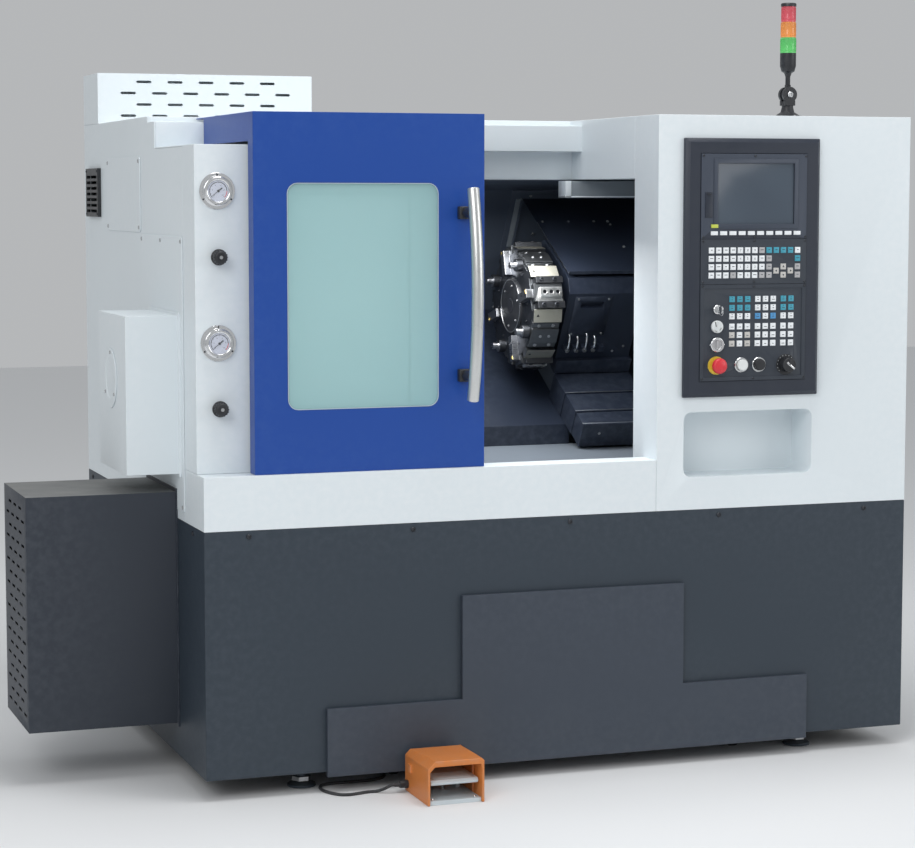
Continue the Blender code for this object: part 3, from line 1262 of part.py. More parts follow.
def make_control_frame():
    outer = rounded(FRAME_X0, FRAME_X1, FRAME_Z0, FRAME_Z1, FRAME_CORNER, 2)
    inset = FRAME_BEVEL
    front = rounded(FRAME_X0 + inset, FRAME_X1 - inset, FRAME_Z0 + inset, FRAME_Z1 - inset, FRAME_CORNER, 2)
    bm = bmesh.new()
    back_ring = [bm.verts.new((x, -GAP, z)) for x, z in outer]
    side_ring = [bm.verts.new((x, -FRAME_PROUD / 2, z)) for x, z in outer]
    front_ring = [bm.verts.new((x, -FRAME_PROUD, z)) for x, z in front]
    for lower, upper in ((back_ring, side_ring), (side_ring, front_ring)):
        count = len(lower)
        for k in range(count):
            bm.faces.new((lower[k], lower[(k + 1) % count], upper[(k + 1) % count], upper[k]))
    bm.faces.new(back_ring)
    bm.faces.new(front_ring)
    frame = solid_from(bm)
    opening = box((UNIT_X0 - GAP, -OVERRUN * 2, UNIT_Z0 - GAP), (UNIT_X1 + GAP, OVERRUN, UNIT_Z3 + GAP))
    node("control_frame", cut_away(frame, opening), "panel_grey")


def unit_block(low_z, high_z):
    """A control unit that fills the frame's opening between two heights."""
    return box((UNIT_X0, -UNIT_PROUD, low_z + GAP), (UNIT_X1, UNIT_DEPTH, high_z - GAP))


def key_cap(x, z, width, height, face):
    """A raised key cap on a face that looks to the front."""
    return box((x - width / 2, face - KEY_RAISE, z - height / 2), (x + width / 2, face + GAP, z + height / 2))


def make_display():
    unit = unit_block(UNIT_Z2, UNIT_Z3)
    face = -UNIT_PROUD
    bezel = box((BEZEL_X0, face - BEZEL_RAISE, BEZEL_Z0), (BEZEL_X1, face + GAP, BEZEL_Z1))
    hatch = box((CARD_DOOR_LEFT, face - KEY_RAISE, CARD_DOOR_LOW),
                (CARD_DOOR_LEFT + CARD_DOOR_WIDTH, face + GAP, CARD_DOOR_TOP))
    keys = [key_cap(SOFT_KEY_FIRST_X + i * SOFT_KEY_PITCH, SOFT_KEY_Z, SOFT_KEY_WIDTH, SOFT_KEY_HEIGHT, face)
            for i in range(SOFT_KEY_COUNT)]
    join(unit, bezel, bundle(keys), hatch)
    screen = box((BEZEL_X0 + SCREEN_MARGIN, face - OVERRUN, BEZEL_Z0 + SCREEN_MARGIN),
                 (BEZEL_X1 - SCREEN_MARGIN, face + SCREEN_SINK, BEZEL_Z1 - SCREEN_MARGIN))
    node("display_unit", cut_away(unit, screen), "panel_grey")


def keyboard_places():
    """Columns and rows of the keys: the cursor cross stands apart near the right end."""
    left, middle, right = 9, 10, 11
    bare = {(left, row) for row in (1, 2, 3)} | {(right, row) for row in (1, 2, 3)} | {(middle, 1)}
    grid = [(column, row) for row in range(KEY_ROWS) for column in range(KEY_COLUMNS)
            if (column, row) not in bare]
    between_rows = (2 + 3) / 2
    return grid + [(left, between_rows), (right, between_rows)]


def make_keyboard():
    unit = unit_block(UNIT_Z1, UNIT_Z2)
    caps = [key_cap(KEY_FIRST_X + column * KEY_PITCH_X, KEY_FIRST_Z - row * KEY_PITCH_Z,
                    KEY_SIDE, KEY_SIDE, -UNIT_PROUD) for column, row in keyboard_places()]
    node("keyboard_unit", join(unit, bundle(caps)), "panel_grey")


def control_places():
    """Every hand control of the operator unit: name, X, Z."""
    return (("estop_button", ESTOP_X, ESTOP_Z), ("white_button", WHITE_BUTTON_X, BUTTON_Z),
            ("black_button", BLACK_BUTTON_X, BUTTON_Z), ("override_knob", OVERRIDE_X, OVERRIDE_Z),
            ("key_switch", SWITCH_X, KEY_SWITCH_Z), ("mode_selector", SWITCH_X, MODE_SWITCH_Z),
            ("ring_switch", SWITCH_X, RING_SWITCH_Z))


def make_operator_unit():
    unit = unit_block(UNIT_Z0, UNIT_Z1)
    field = box((UNIT_X0 + OPERATOR_RIM, -UNIT_PROUD - OVERRUN, UNIT_Z0 + OPERATOR_RIM),
                (UNIT_X1 - OPERATOR_RIM, FIELD_FACE, UNIT_Z1 - OPERATOR_RIM))
    cut_away(unit, field)
    caps = []
    for column in range(OPERATOR_COLUMNS):
        for row in range(OPERATOR_ROWS):
            x = OPERATOR_FIRST_X + column * OPERATOR_PITCH_X + column // 3 * OPERATOR_GROUP_SHIFT
            z = OPERATOR_FIRST_Z - row * OPERATOR_PITCH_Z - row // 3 * OPERATOR_ROW_SHIFT
            caps.append(key_cap(x, z, KEY_SIDE, KEY_SIDE, FIELD_FACE))
    join(unit, bundle(caps))
    for radius, thick, place in ((ESTOP_RING_RADIUS, ESTOP_RING_THICK, (ESTOP_X, ESTOP_Z)),
                                 (OVERRIDE_DIAL_RADIUS, OVERRIDE_DIAL_THICK, (OVERRIDE_X, OVERRIDE_Z))):
        join(unit, rod(radius, FIELD_FACE - thick, FIELD_FACE + FIELD_SINK, place, "Y", 24))
    for name, x, z in control_places():
        bore = rod(STEM_RADIUS + STEM_CLEARANCE, -(UNIT_PROUD + OVERRUN), FIELD_FACE + CONTROL_BORE_DEPTH,
                   (x, z), "Y", 20)
        cut_away(unit, bore)
    node("operator_unit", unit, "panel_grey")


def control_cap(x, z, radius, height, rest, sides=20, dish=()):
    """A turned cap on a stem, its back face a rest distance in front of the unit's field."""
    face = FIELD_FACE - rest
    foot = FIELD_FACE + STEM_LENGTH
    front = list(dish) or [(0, face - height)]
    profile = front + [(radius - TAPER, face - height), (radius, face - height + TAPER),
                       (radius, face), (STEM_RADIUS, face), (STEM_RADIUS, foot), (0, foot)]
    return turned(profile, (x, 0, z), "Y", sides)


def make_controls():
    neck = FIELD_FACE - ESTOP_RING_THICK - GAP
    head = neck - ESTOP_NECK_LENGTH
    foot = FIELD_FACE + STEM_LENGTH / 2
    stop = turned([(0, head - ESTOP_HEAD), (ESTOP_RADIUS / 2, head - ESTOP_HEAD + TAPER / 2),
                   (ESTOP_RADIUS - TAPER * 2, head - ESTOP_HEAD + TAPER * 2), (ESTOP_RADIUS, head - ESTOP_HEAD / 2),
                   (ESTOP_RADIUS, head - TAPER), (ESTOP_RADIUS - TAPER, head), (ESTOP_NECK_RADIUS, head),
                   (ESTOP_NECK_RADIUS, neck - ESTOP_TRAVEL), (STEM_RADIUS, neck - ESTOP_TRAVEL),
                   (STEM_RADIUS, foot), (0, foot)], (ESTOP_X, 0, ESTOP_Z), "Y", 24)
    node("estop_button", stop, "red_plastic", (ESTOP_X, head, ESTOP_Z))
    for name, x, colour in (("white_button", WHITE_BUTTON_X, "white_plastic"),
                            ("black_button", BLACK_BUTTON_X, "black_plastic")):
        button = control_cap(x, BUTTON_Z, BUTTON_RADIUS, BUTTON_HEIGHT - BUTTON_TRAVEL, BUTTON_TRAVEL + GAP)
        node(name, button, colour, (x, FIELD_FACE, BUTTON_Z))
    rest = OVERRIDE_DIAL_THICK + GAP
    knob = control_cap(OVERRIDE_X, OVERRIDE_Z, OVERRIDE_RADIUS, OVERRIDE_HEIGHT, rest, 28)
    crown = FIELD_FACE - rest - OVERRIDE_HEIGHT
    pointer = box((OVERRIDE_X - BLADE_WIDTH / 2, crown - BLADE_WIDTH / 2, OVERRIDE_Z),
                  (OVERRIDE_X + BLADE_WIDTH / 2, crown + OVERRIDE_HEIGHT / 2,
                   OVERRIDE_Z + OVERRIDE_RADIUS - TAPER * 2))
    node("override_knob", join(knob, pointer), "black_plastic", (OVERRIDE_X, FIELD_FACE, OVERRIDE_Z))
    face = FIELD_FACE - GAP - SWITCH_HEIGHT
    for name, z, radius, height, colour in (
            ("key_switch", KEY_SWITCH_Z, SWITCH_RADIUS, KEY_BLADE_HEIGHT, "chrome"),
            ("mode_selector", MODE_SWITCH_Z, MODE_RADIUS, BLADE_HEIGHT / 2, "white_plastic")):
        switch = control_cap(SWITCH_X, z, radius, SWITCH_HEIGHT, GAP)
        blade = box((SWITCH_X - BLADE_WIDTH / 2, face - height, z - radius + TAPER * 2),
                    (SWITCH_X + BLADE_WIDTH / 2, face + TAPER, z + radius - TAPER * 2))
        node(name, join(switch, blade), colour, (SWITCH_X, FIELD_FACE, z))
    dish = [(0, face + SWITCH_HEIGHT / 2), (RING_DISH_RADIUS, face + SWITCH_HEIGHT / 2),
            (RING_DISH_RADIUS + TAPER, face)]
    ring = control_cap(SWITCH_X, RING_SWITCH_Z, RING_RADIUS, SWITCH_HEIGHT, GAP, 24, dish)
    blade = box((SWITCH_X - BLADE_WIDTH / 2, face, RING_SWITCH_Z - RING_DISH_RADIUS),
                (SWITCH_X + BLADE_WIDTH / 2, face + SWITCH_HEIGHT / 2 + GAP, RING_SWITCH_Z + RING_DISH_RADIUS))
    node("ring_switch", join(ring, blade), "chrome", (SWITCH_X, FIELD_FACE, RING_SWITCH_Z))


def make_gauges():
    face = COLUMN_FRONT - GAP
    for name, z in (("upper", GAUGE_HIGH_Z), ("lower", GAUGE_LOW_Z)):
        flange = face - GAUGE_FLANGE_THICK
        front = flange - GAUGE_BODY_HEIGHT
        dial_radius = GAUGE_BODY_RADIUS - GAUGE_RIM
        dial = front + GAUGE_DIAL_SINK
        gauge = turned([(0, face), (GAUGE_FLANGE_RADIUS, face), (GAUGE_FLANGE_RADIUS, flange),
                        (GAUGE_BODY_RADIUS, flange), (GAUGE_BODY_RADIUS, front + TAPER),
                        (GAUGE_BODY_RADIUS - TAPER, front), (dial_radius, front), (dial_radius, dial),
                        (0, dial)],
                       (GAUGE_X, 0, z), "Y", 28)
        node("gauge_" + name, gauge, "chrome")
        low = z - KNOB_DROP
        neck = face - REGULATOR_NECK_LENGTH
        end = neck - REGULATOR_LENGTH
        knob = turned([(0, face), (REGULATOR_NECK_RADIUS, face), (REGULATOR_NECK_RADIUS, neck),
                       (REGULATOR_RADIUS, neck), (REGULATOR_RADIUS, end + TAPER),
                       (REGULATOR_RADIUS - TAPER, end), (0, end)], (GAUGE_X, 0, low), "Y", 16)
        node("regulator_knob_" + name, knob, "black_plastic", (GAUGE_X, face, low))


def make_side_panels():
    outer = -GAP - PANEL_PROUD
    upper = prism(rounded(UPPER_PANEL_Y0, UPPER_PANEL_Y1, UPPER_PANEL_Z0, UPPER_PANEL_Z1, PANEL_CORNER),
                  outer, -GAP)
    node("side_panel_upper", upper, "white_paint")
    lower = prism(rounded(SIDE_SEAM + GAP, LOWER_PANEL_Y1, LOWER_PANEL_Z0, LOWER_PANEL_Z1, PANEL_CORNER),
                  outer, -GAP)
    port = rod(CYLINDER_HOLE_RADIUS, outer - OVERRUN, OVERRUN, (SPINDLE_Y, SPINDLE_Z))
    notch = box((outer - OVERRUN, MOTOR_COVER_Y0 - COVER_FLANGE * 2, LOWER_PANEL_Z0 - OVERRUN),
                (OVERRUN, MOTOR_COVER_Y1 + COVER_FLANGE * 2, MOTOR_COVER_Z1 + COVER_FLANGE * 2))
    node("side_panel_lower", cut_away(lower, port, notch), "white_paint")


def make_grille():
    frame = box((-GAP - GRILLE_THICK, GRILLE_Y0, GRILLE_Z0), (-GAP, GRILLE_Y1, GRILLE_Z1))
    pitch = (GRILLE_Z1 - GRILLE_Z0 - 2 * GRILLE_RIM) / GRILLE_SLATS
    slots = []
    for i in range(GRILLE_SLATS):
        low = GRILLE_Z0 + GRILLE_RIM + pitch * i
        slots.append(box((-GRILLE_THICK - OVERRUN, GRILLE_Y0 + GRILLE_RIM, low),
                         (OVERRUN, GRILLE_Y1 - GRILLE_RIM, low + pitch * GRILLE_SLOT_SHARE)))
    node("fan_grille", cut_away(frame, bundle(slots)), "black_plastic")


def open_case(left, right, low_y, high_y, low_z, high_z, flange):
    """A five-sided cover that opens to the right, with a flange round its mouth."""
    case = box((left, low_y, low_z), (right, high_y, high_z))
    rim = box((right - COVER_WALL * 2, low_y - flange, low_z - flange),
              (right, high_y + flange, high_z + flange))
    room = box((left + COVER_WALL, low_y + COVER_WALL, low_z + COVER_WALL),
               (right + OVERRUN, high_y - COVER_WALL, high_z - COVER_WALL))
    return cut_away(join(case, rim), room)


def make_spindle_cover():
    case = open_case(-SPINDLE_COVER_REACH, PANEL_FACE - GAP, SPINDLE_COVER_Y0, SPINDLE_COVER_Y1,
                     SPINDLE_COVER_Z0, SPINDLE_COVER_Z1, COVER_FLANGE)
    hole = rod(BAR_HOLE_RADIUS, -SPINDLE_COVER_REACH - OVERRUN, -SPINDLE_COVER_REACH + OVERRUN / 2,
               (SPINDLE_Y, SPINDLE_Z))
    node("spindle_cover", cut_away(case, hole), "white_paint")
    face = -SPINDLE_COVER_REACH - GAP
    disc = turned([(0, face), (BAR_DISC_RADIUS, face), (BAR_DISC_RADIUS, face - BAR_DISC_THICK),
                   (BAR_DISC_DISH, face - BAR_DISC_THICK), (BAR_DISC_DISH - TAPER, face - THIN_SHEET),
                   (0, face - THIN_SHEET)], (0, SPINDLE_Y, SPINDLE_Z), "X", 36)
    node("bar_hole_disc", disc, "white_paint")


def make_motor_cover():
    case = open_case(-MOTOR_COVER_REACH, -GAP, MOTOR_COVER_Y0, MOTOR_COVER_Y1,
                     MOTOR_COVER_Z0, MOTOR_COVER_Z1, COVER_FLANGE)
    pitch = (MOTOR_COVER_Z1 - MOTOR_COVER_Z0 - 2 * MOTOR_VENT_MARGIN) / (MOTOR_VENT_ROWS - 1)
    slots = []
    for row in range(MOTOR_VENT_ROWS):
        count = 4 - row % 2
        for i in range(count):
            y = MOTOR_Y + (i - (count - 1) / 2) * MOTOR_VENT_PITCH_Y
            z = MOTOR_COVER_Z0 + MOTOR_VENT_MARGIN + row * pitch
            slots.append(prism(vent_slot(y, z), -MOTOR_COVER_REACH - OVERRUN, -MOTOR_COVER_REACH + OVERRUN / 2))
    node("motor_cover", cut_away(case, bundle(slots)), "black_paint")


def make_motor():
    def square(half, chamfer):
        return [(MOTOR_Y + a * half + c * chamfer, MOTOR_Z + b * half + d * chamfer) for a, b, c, d in (
            (-1, -1, 1, 0), (1, -1, -1, 0), (1, -1, 0, 1), (1, 1, 0, -1),
            (1, 1, -1, 0), (-1, 1, 1, 0), (-1, 1, 0, -1), (-1, -1, 0, 1))]
    body = prism(square(MOTOR_HALF, MOTOR_CHAMFER), MOTOR_LEFT, -GAP - MOTOR_FLANGE_THICK / 2)
    flange = prism(square(MOTOR_FLANGE, MOTOR_CHAMFER), -GAP - MOTOR_FLANGE_THICK, -GAP)
    bell = rod(MOTOR_BELL_RADIUS, MOTOR_LEFT - MOTOR_BELL_LENGTH, MOTOR_LEFT + GAP, (MOTOR_Y, MOTOR_Z))
    shaft = rod(MOTOR_SHAFT_RADIUS, -GAP * 2, MOTOR_SHAFT_REACH, (MOTOR_Y, MOTOR_Z), "X", 16)
    join(body, flange, bell, shaft)
    length = -MOTOR_LEFT - MOTOR_FLANGE_THICK
    grooves = []
    for i in range(MOTOR_RIB_COUNT):
        x = MOTOR_LEFT + length * (i + 1) / (MOTOR_RIB_COUNT + 1)
        ring = box((x - MOTOR_RIB / 2, MOTOR_Y - MOTOR_HALF - OVERRUN, MOTOR_Z + MOTOR_HALF - MOTOR_RIB),
                   (x + MOTOR_RIB / 2, MOTOR_Y + MOTOR_HALF + OVERRUN, MOTOR_Z + MOTOR_HALF + OVERRUN))
        grooves.append(ring)
    node("spindle_motor", cut_away(body, bundle(grooves)), "cast_iron")


def make_roof_vent():
    low = ROOF_TOP + GAP
    high = low + ROOF_VENT_HEIGHT
    back = MACHINE_DEPTH
    case = box((0, ROOF_VENT_FRONT, low), (ROOF_VENT_WIDTH, back, high))
    room = box((COVER_WALL, ROOF_VENT_FRONT + COVER_WALL, low - OVERRUN),
               (ROOF_VENT_WIDTH - COVER_WALL, back - COVER_WALL, high - COVER_WALL))
    cut_away(case, room)
    front_slots = []
    top_slots = []
    middle_x = ROOF_VENT_WIDTH / 2
    middle_y = (ROOF_VENT_FRONT + back) / 2
    middle_z = (low + high) / 2
    for row in range(ROOF_VENT_ROWS):
        count = ROOF_VENT_COLUMNS - row % 2
        offset = (row - (ROOF_VENT_ROWS - 1) / 2) * ROOF_VENT_PITCH_Z
        for i in range(count):
            x = middle_x + (i - (count - 1) / 2) * ROOF_VENT_PITCH_X
            upright = vent_slot(x, middle_z + offset)
            front_slots.append(prism(upright, ROOF_VENT_FRONT - OVERRUN, ROOF_VENT_FRONT + OVERRUN, "Y"))
            level = vent_slot(x, middle_y + offset)
            top_slots.append(prism(level, high - OVERRUN, high + OVERRUN, "Z"))
    cut_away(case, bundle(front_slots), bundle(top_slots))
    node("roof_vent", case, "white_paint")


def make_tower():
    low = ROOF_TOP + GAP
    hinge = low + TOWER_HINGE_HEIGHT
    clear = TOWER_TONGUE_HALF + GAP
    neck_top = hinge - TOWER_TONGUE_RADIUS - TAPER
    foot = turned([(0, low), (TOWER_GASKET_RADIUS, low), (TOWER_GASKET_RADIUS, low + TOWER_GASKET_THICK),
                   (TOWER_FOOT_RADIUS, low + TOWER_GASKET_THICK),
                   (TOWER_NECK_RADIUS + TAPER * 2, low + TOWER_FOOT_HEIGHT),
                   (TOWER_NECK_RADIUS, low + TOWER_FOOT_HEIGHT * 2), (TOWER_NECK_RADIUS, neck_top),
                   (0, neck_top)], (TOWER_X, TOWER_Y, 0), "Z", 24)
    for side in (-1, 1):
        low_y, high_y = sorted((TOWER_Y + side * clear, TOWER_Y + side * (clear + TOWER_EAR)))
        ear = rod(TOWER_EAR_RADIUS, low_y, high_y, (TOWER_X, hinge), "Y", 24)
        web = box((TOWER_X - TOWER_NECK_RADIUS, low_y, neck_top - TOWER_EAR),
                  (TOWER_X + TOWER_NECK_RADIUS, high_y, hinge - TOWER_NECK_RADIUS))
        join(foot, join(ear, web))
    reach = clear + TOWER_EAR + TOWER_PIN_PROUD
    pin = rod(TOWER_PIN_RADIUS, TOWER_Y - reach, TOWER_Y + reach, (TOWER_X, hinge), "Y", 12)
    node("tower_foot", join(foot, pin), "white_plastic")
    tongue = rod(TOWER_TONGUE_RADIUS, TOWER_Y - TOWER_TONGUE_HALF, TOWER_Y + TOWER_TONGUE_HALF,
                 (TOWER_X, hinge), "Y", 20)
    web = box((TOWER_X - TOWER_STEM_RADIUS, TOWER_Y - TOWER_TONGUE_HALF, hinge),
              (TOWER_X + TOWER_STEM_RADIUS, TOWER_Y + TOWER_TONGUE_HALF, low + TOWER_STEM_LOW + TAPER))
    stem = turned([(0, low + TOWER_STEM_LOW), (TOWER_STEM_RADIUS, low + TOWER_STEM_LOW),
                   (TOWER_STEM_RADIUS, low + TOWER_STEM_TOP), (TOWER_CONE_RADIUS, low + TOWER_CONE_TOP),
                   (TOWER_BODY_FOOT_RADIUS, low + TOWER_BODY_FOOT),
                   (TOWER_BODY_RADIUS, low + TOWER_BODY_SHOULDER), (TOWER_BODY_RADIUS, low + TOWER_BODY_TOP),
                   (0, low + TOWER_BODY_TOP)], (TOWER_X, TOWER_Y, 0), "Z", 20)
    hole = rod(TOWER_PIN_RADIUS + STEM_CLEARANCE, TOWER_Y - OVERRUN, TOWER_Y + OVERRUN,
               (TOWER_X, hinge), "Y", 16)
    node("tower_arm", cut_away(join(tongue, web, stem), hole), "black_plastic", (TOWER_X, TOWER_Y, hinge))
    start = low + TOWER_BODY_TOP + GAP
    profile = [(0, start)]
    for i in range(3):
        seam = start + (i + 1) * TOWER_LENS_HEIGHT
        radius = TOWER_LENS_RADIUS - i * TOWER_LENS_STEP
        groove = radius - TOWER_LENS_GROOVE
        profile += [(radius, seam - TOWER_LENS_HEIGHT), (radius, seam - TOWER_LENS_LIP),
                    (groove, seam - TOWER_LENS_LIP), (groove, seam)]
    top = start + 3 * TOWER_LENS_HEIGHT
    cap = TOWER_LENS_RADIUS - TOWER_LENS_STEP
    profile += [(cap, top), (cap, top + TOWER_CAP_HEIGHT - TAPER), (cap - TAPER * 2, top + TOWER_CAP_HEIGHT),
                (0, top + TOWER_CAP_HEIGHT)]
    node("tower_lenses", turned(profile, (TOWER_X, TOWER_Y, 0), "Z", 20), "lens_red",
         (TOWER_X, TOWER_Y, hinge))


def make_pedal():
    base = box((PEDAL_X0 + PEDAL_WALL + GAP, PEDAL_FRONT + PEDAL_BASE_FRONT_SETBACK, 0),
               (PEDAL_X1 - PEDAL_WALL - GAP, PEDAL_BACK - PEDAL_WALL - GAP, PEDAL_BASE_THICK))
    hinge_y = PEDAL_BACK - TREADLE_BACK_SETBACK
    hinge_z = TREADLE_LEVEL - TREADLE_THICK
    ear_high = hinge_z + TREADLE_PIN_RADIUS * 3 / 2
    inner_left = PEDAL_X0 + PEDAL_WALL + TREADLE_SIDE
    inner_right = PEDAL_X1 - PEDAL_WALL - TREADLE_SIDE
    for low_x in (inner_left + TREADLE_EAR, inner_right - 2 * TREADLE_EAR):
        join(base, box((low_x, hinge_y - TREADLE_EAR, PEDAL_BASE_THICK - GAP),
                       (low_x + TREADLE_EAR, hinge_y + TREADLE_EAR, ear_high)))
    pin = rod(TREADLE_PIN_RADIUS, inner_left + GAP, inner_right - GAP, (hinge_y, hinge_z), "X", 12)
    node("pedal_base", join(base, pin), "tread_grey")

    corner = PEDAL_CORNER
    outline = [(PEDAL_X0, 0), (PEDAL_X0, PEDAL_HEIGHT - corner), (PEDAL_X0 + corner, PEDAL_HEIGHT),
               (PEDAL_X1 - corner / 3, PEDAL_HEIGHT), (PEDAL_X1, PEDAL_HEIGHT - corner / 3), (PEDAL_X1, 0)]
    wall = PEDAL_WALL
    ceiling = PEDAL_HEIGHT - PEDAL_ROOF
    room = [(PEDAL_X0 + wall, -OVERRUN), (PEDAL_X0 + wall, ceiling - corner + wall),
            (PEDAL_X0 + corner, ceiling), (PEDAL_X1 - corner / 3 - wall / 2, ceiling),
            (PEDAL_X1 - wall, ceiling - corner / 3), (PEDAL_X1 - wall, -OVERRUN)]
    hood = prism(outline[::-1], PEDAL_FRONT, PEDAL_BACK, "Y")
    cut_away(hood, prism(room[::-1], PEDAL_FRONT - OVERRUN, PEDAL_BACK - wall, "Y"))
    slope = prism([(PEDAL_FRONT + corner, PEDAL_HEIGHT + OVERRUN), (PEDAL_FRONT + corner * 3, PEDAL_HEIGHT),
                   (PEDAL_BACK + OVERRUN, PEDAL_BACK_HEIGHT), (PEDAL_BACK + OVERRUN, PEDAL_HEIGHT + OVERRUN)],
                  PEDAL_X0 - OVERRUN, PEDAL_X1 + OVERRUN)
    cut_away(hood, slope)
    lug_y = (PEDAL_FRONT + PEDAL_BACK * 3) / 4
    lug = box((PEDAL_X0 - PEDAL_LUG / 2, lug_y - PEDAL_LUG, PEDAL_HEIGHT / 2),
              (PEDAL_X0 + GAP, lug_y + PEDAL_LUG, PEDAL_HEIGHT / 2 + PEDAL_LUG * 2))
    gland_y = PEDAL_BACK - GLAND_BACK_SETBACK
    gland = rod(GLAND_RADIUS, PEDAL_X0 - GLAND_LENGTH, PEDAL_X0 + GAP, (gland_y, GLAND_HEIGHT), "X", 12)
    node("pedal_hood", join(hood, lug, gland), "orange_paint")

    left = inner_left
    right = inner_right
    front = PEDAL_FRONT + TREADLE_FRONT_SETBACK
    back = hinge_y + TREADLE_EAR
    path = [(front + TREADLE_LIP / 4, TREADLE_LEVEL - TREADLE_LIP), (front, TREADLE_LEVEL - TREADLE_LIP / 2),
            (front + TREADLE_LIP / 2, TREADLE_LEVEL), (back, TREADLE_LEVEL)]
    lift = TREADLE_PIN_RADIUS * 2 + GAP
    raised = [(y, z + lift) for y, z in path]
    plate = prism(folded(raised[::-1], TREADLE_THICK), left, right)
    reach = TREADLE_PIN_RADIUS * 2
    for low_x in (left, right - TREADLE_EAR + 2 * GAP):
        lobe = [(hinge_y - TREADLE_EAR, TREADLE_LEVEL + lift - TREADLE_THICK / 2),
                (hinge_y - reach, hinge_z - reach), (hinge_y + reach, hinge_z - reach),
                (hinge_y + TREADLE_EAR, TREADLE_LEVEL + lift - TREADLE_THICK / 2)]
        join(plate, prism(lobe, low_x, low_x + TREADLE_EAR - 2 * GAP))
    cut_away(plate, rod(TREADLE_PIN_RADIUS + STEM_CLEARANCE, left - OVERRUN, right + OVERRUN,
                        (hinge_y, hinge_z), "X", 16))
    node("pedal_treadle", plate, "tread_grey", (0, hinge_y, hinge_z))


def smooth_route(points, spacing):
    """Points at even spacing on a smooth curve through the route's own points."""
    vectors = [Vector(point) for point in points]
    dense = []
    for i in range(len(vectors) - 1):
        a = vectors[max(i - 1, 0)]
        b = vectors[i]
        c = vectors[i + 1]
        d = vectors[min(i + 2, len(vectors) - 1)]
        for step in range(20):
            t = step / 20
            dense.append(0.5 * ((2 * b) + (c - a) * t + (2 * a - 5 * b + 4 * c - d) * t * t
                                + (3 * b - a - 3 * c + d) * t ** 3))
    dense.append(vectors[-1])
    route = [dense[0]]
    walked = 0.0
    for before, after in zip(dense, dense[1:]):
        walked += (after - before).length
        if walked >= spacing:
            route.append(after)
            walked = 0.0
    if (route[-1] - dense[-1]).length < spacing / 2:
        route.pop()
    route.append(dense[-1])
    return route


# Route of the pedal cable, chosen by hand, from the pedal's gland to the bracket under the base
CABLE_ROUTE = [
    (0.4547, -0.0570, 0.0200), (0.4450, -0.0570, 0.0200), (0.4340, -0.0560, 0.0192),
    (0.4200, -0.0500, 0.0110), (0.4050, -0.0400, 0.0045), (0.3850, -0.0370, 0.0038),
    (0.3600, -0.0430, 0.0038), (0.3350, -0.0480, 0.0038), (0.3130, -0.0400, 0.0038),
    (0.2970, -0.0180, 0.0038), (0.2870, 0.0100, 0.0038), (0.2870, 0.0400, 0.0038),
    (0.3000, 0.0620, 0.0038), (0.3250, 0.0710, 0.0038), (0.3600, 0.0700, 0.0038),
    (0.4000, 0.0690, 0.0038), (0.4350, 0.0740, 0.0038), (0.4600, 0.0900, 0.0038),
    (0.4710, 0.1150, 0.0038), (0.4620, 0.1450, 0.0040), (0.4350, 0.1640, 0.0050),
    (0.4050, 0.1720, 0.0100), (0.3800, 0.1740, 0.0190), (0.3600, 0.1750, 0.0236),
    (0.3470, 0.1750, 0.0240), (0.3353, 0.1750, 0.0240),
]


def make_cable():
    curve = bpy.data.curves.new("pedal_cable", "CURVE")
    curve.dimensions = "3D"
    curve.bevel_depth = CABLE_RADIUS
    curve.bevel_resolution = 2
    curve.use_fill_caps = True
    route = smooth_route(CABLE_ROUTE, CABLE_RADIUS * 5)
    spline = curve.splines.new("POLY")
    spline.points.add(len(route) - 1)
    for point, place in zip(spline.points, route):
        point.co = (place.x, place.y, place.z, 1)
    cable = bpy.data.objects.new("pedal_cable", curve)
    bpy.context.scene.collection.objects.link(cable)
    curve.materials.append(finish("rubber"))
    cable.parent = frame_origin


for old in list(bpy.data.objects):
    bpy.data.objects.remove(old)

frame_origin = bpy.data.objects.new("frame_origin", None)
bpy.context.scene.collection.objects.link(frame_origin)
frame_origin.location = (-(MACHINE_WIDTH - MOTOR_COVER_REACH) / 2, -(MACHINE_DEPTH + PEDAL_FRONT) / 2, 0)

make_base()
make_tank()
make_wheels()
make_apron()
make_headstock_cover()
make_side_walls()
make_roof()
make_control_cabinet()
make_lining()
make_chip_pan()
make_shroud()
make_bed()
make_headstock()
make_spindle()
make_chuck()
make_carriage()
make_cover_plates()
make_turret_slide()
make_turret_disc()
make_door()
make_window()
make_handle()
make_control_frame()
make_display()
make_keyboard()
make_operator_unit()
make_controls()
make_gauges()
make_side_panels()
make_grille()
make_spindle_cover()
make_motor_cover()
make_motor()
make_roof_vent()
make_tower()
make_pedal()
make_cable()
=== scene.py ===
# %% [markdown]
# # Dressing a turning lathe
# The machine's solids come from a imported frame, and this file gives them their looks. It runs in
# Blender from top to bottom. Every step says what the piece is on the real machine and how it could
# be made, and then makes it. Nothing here moves or resizes a solid.

# %% Load the frame
import json
import math

import bmesh
import bpy
from mathutils import Matrix, Vector


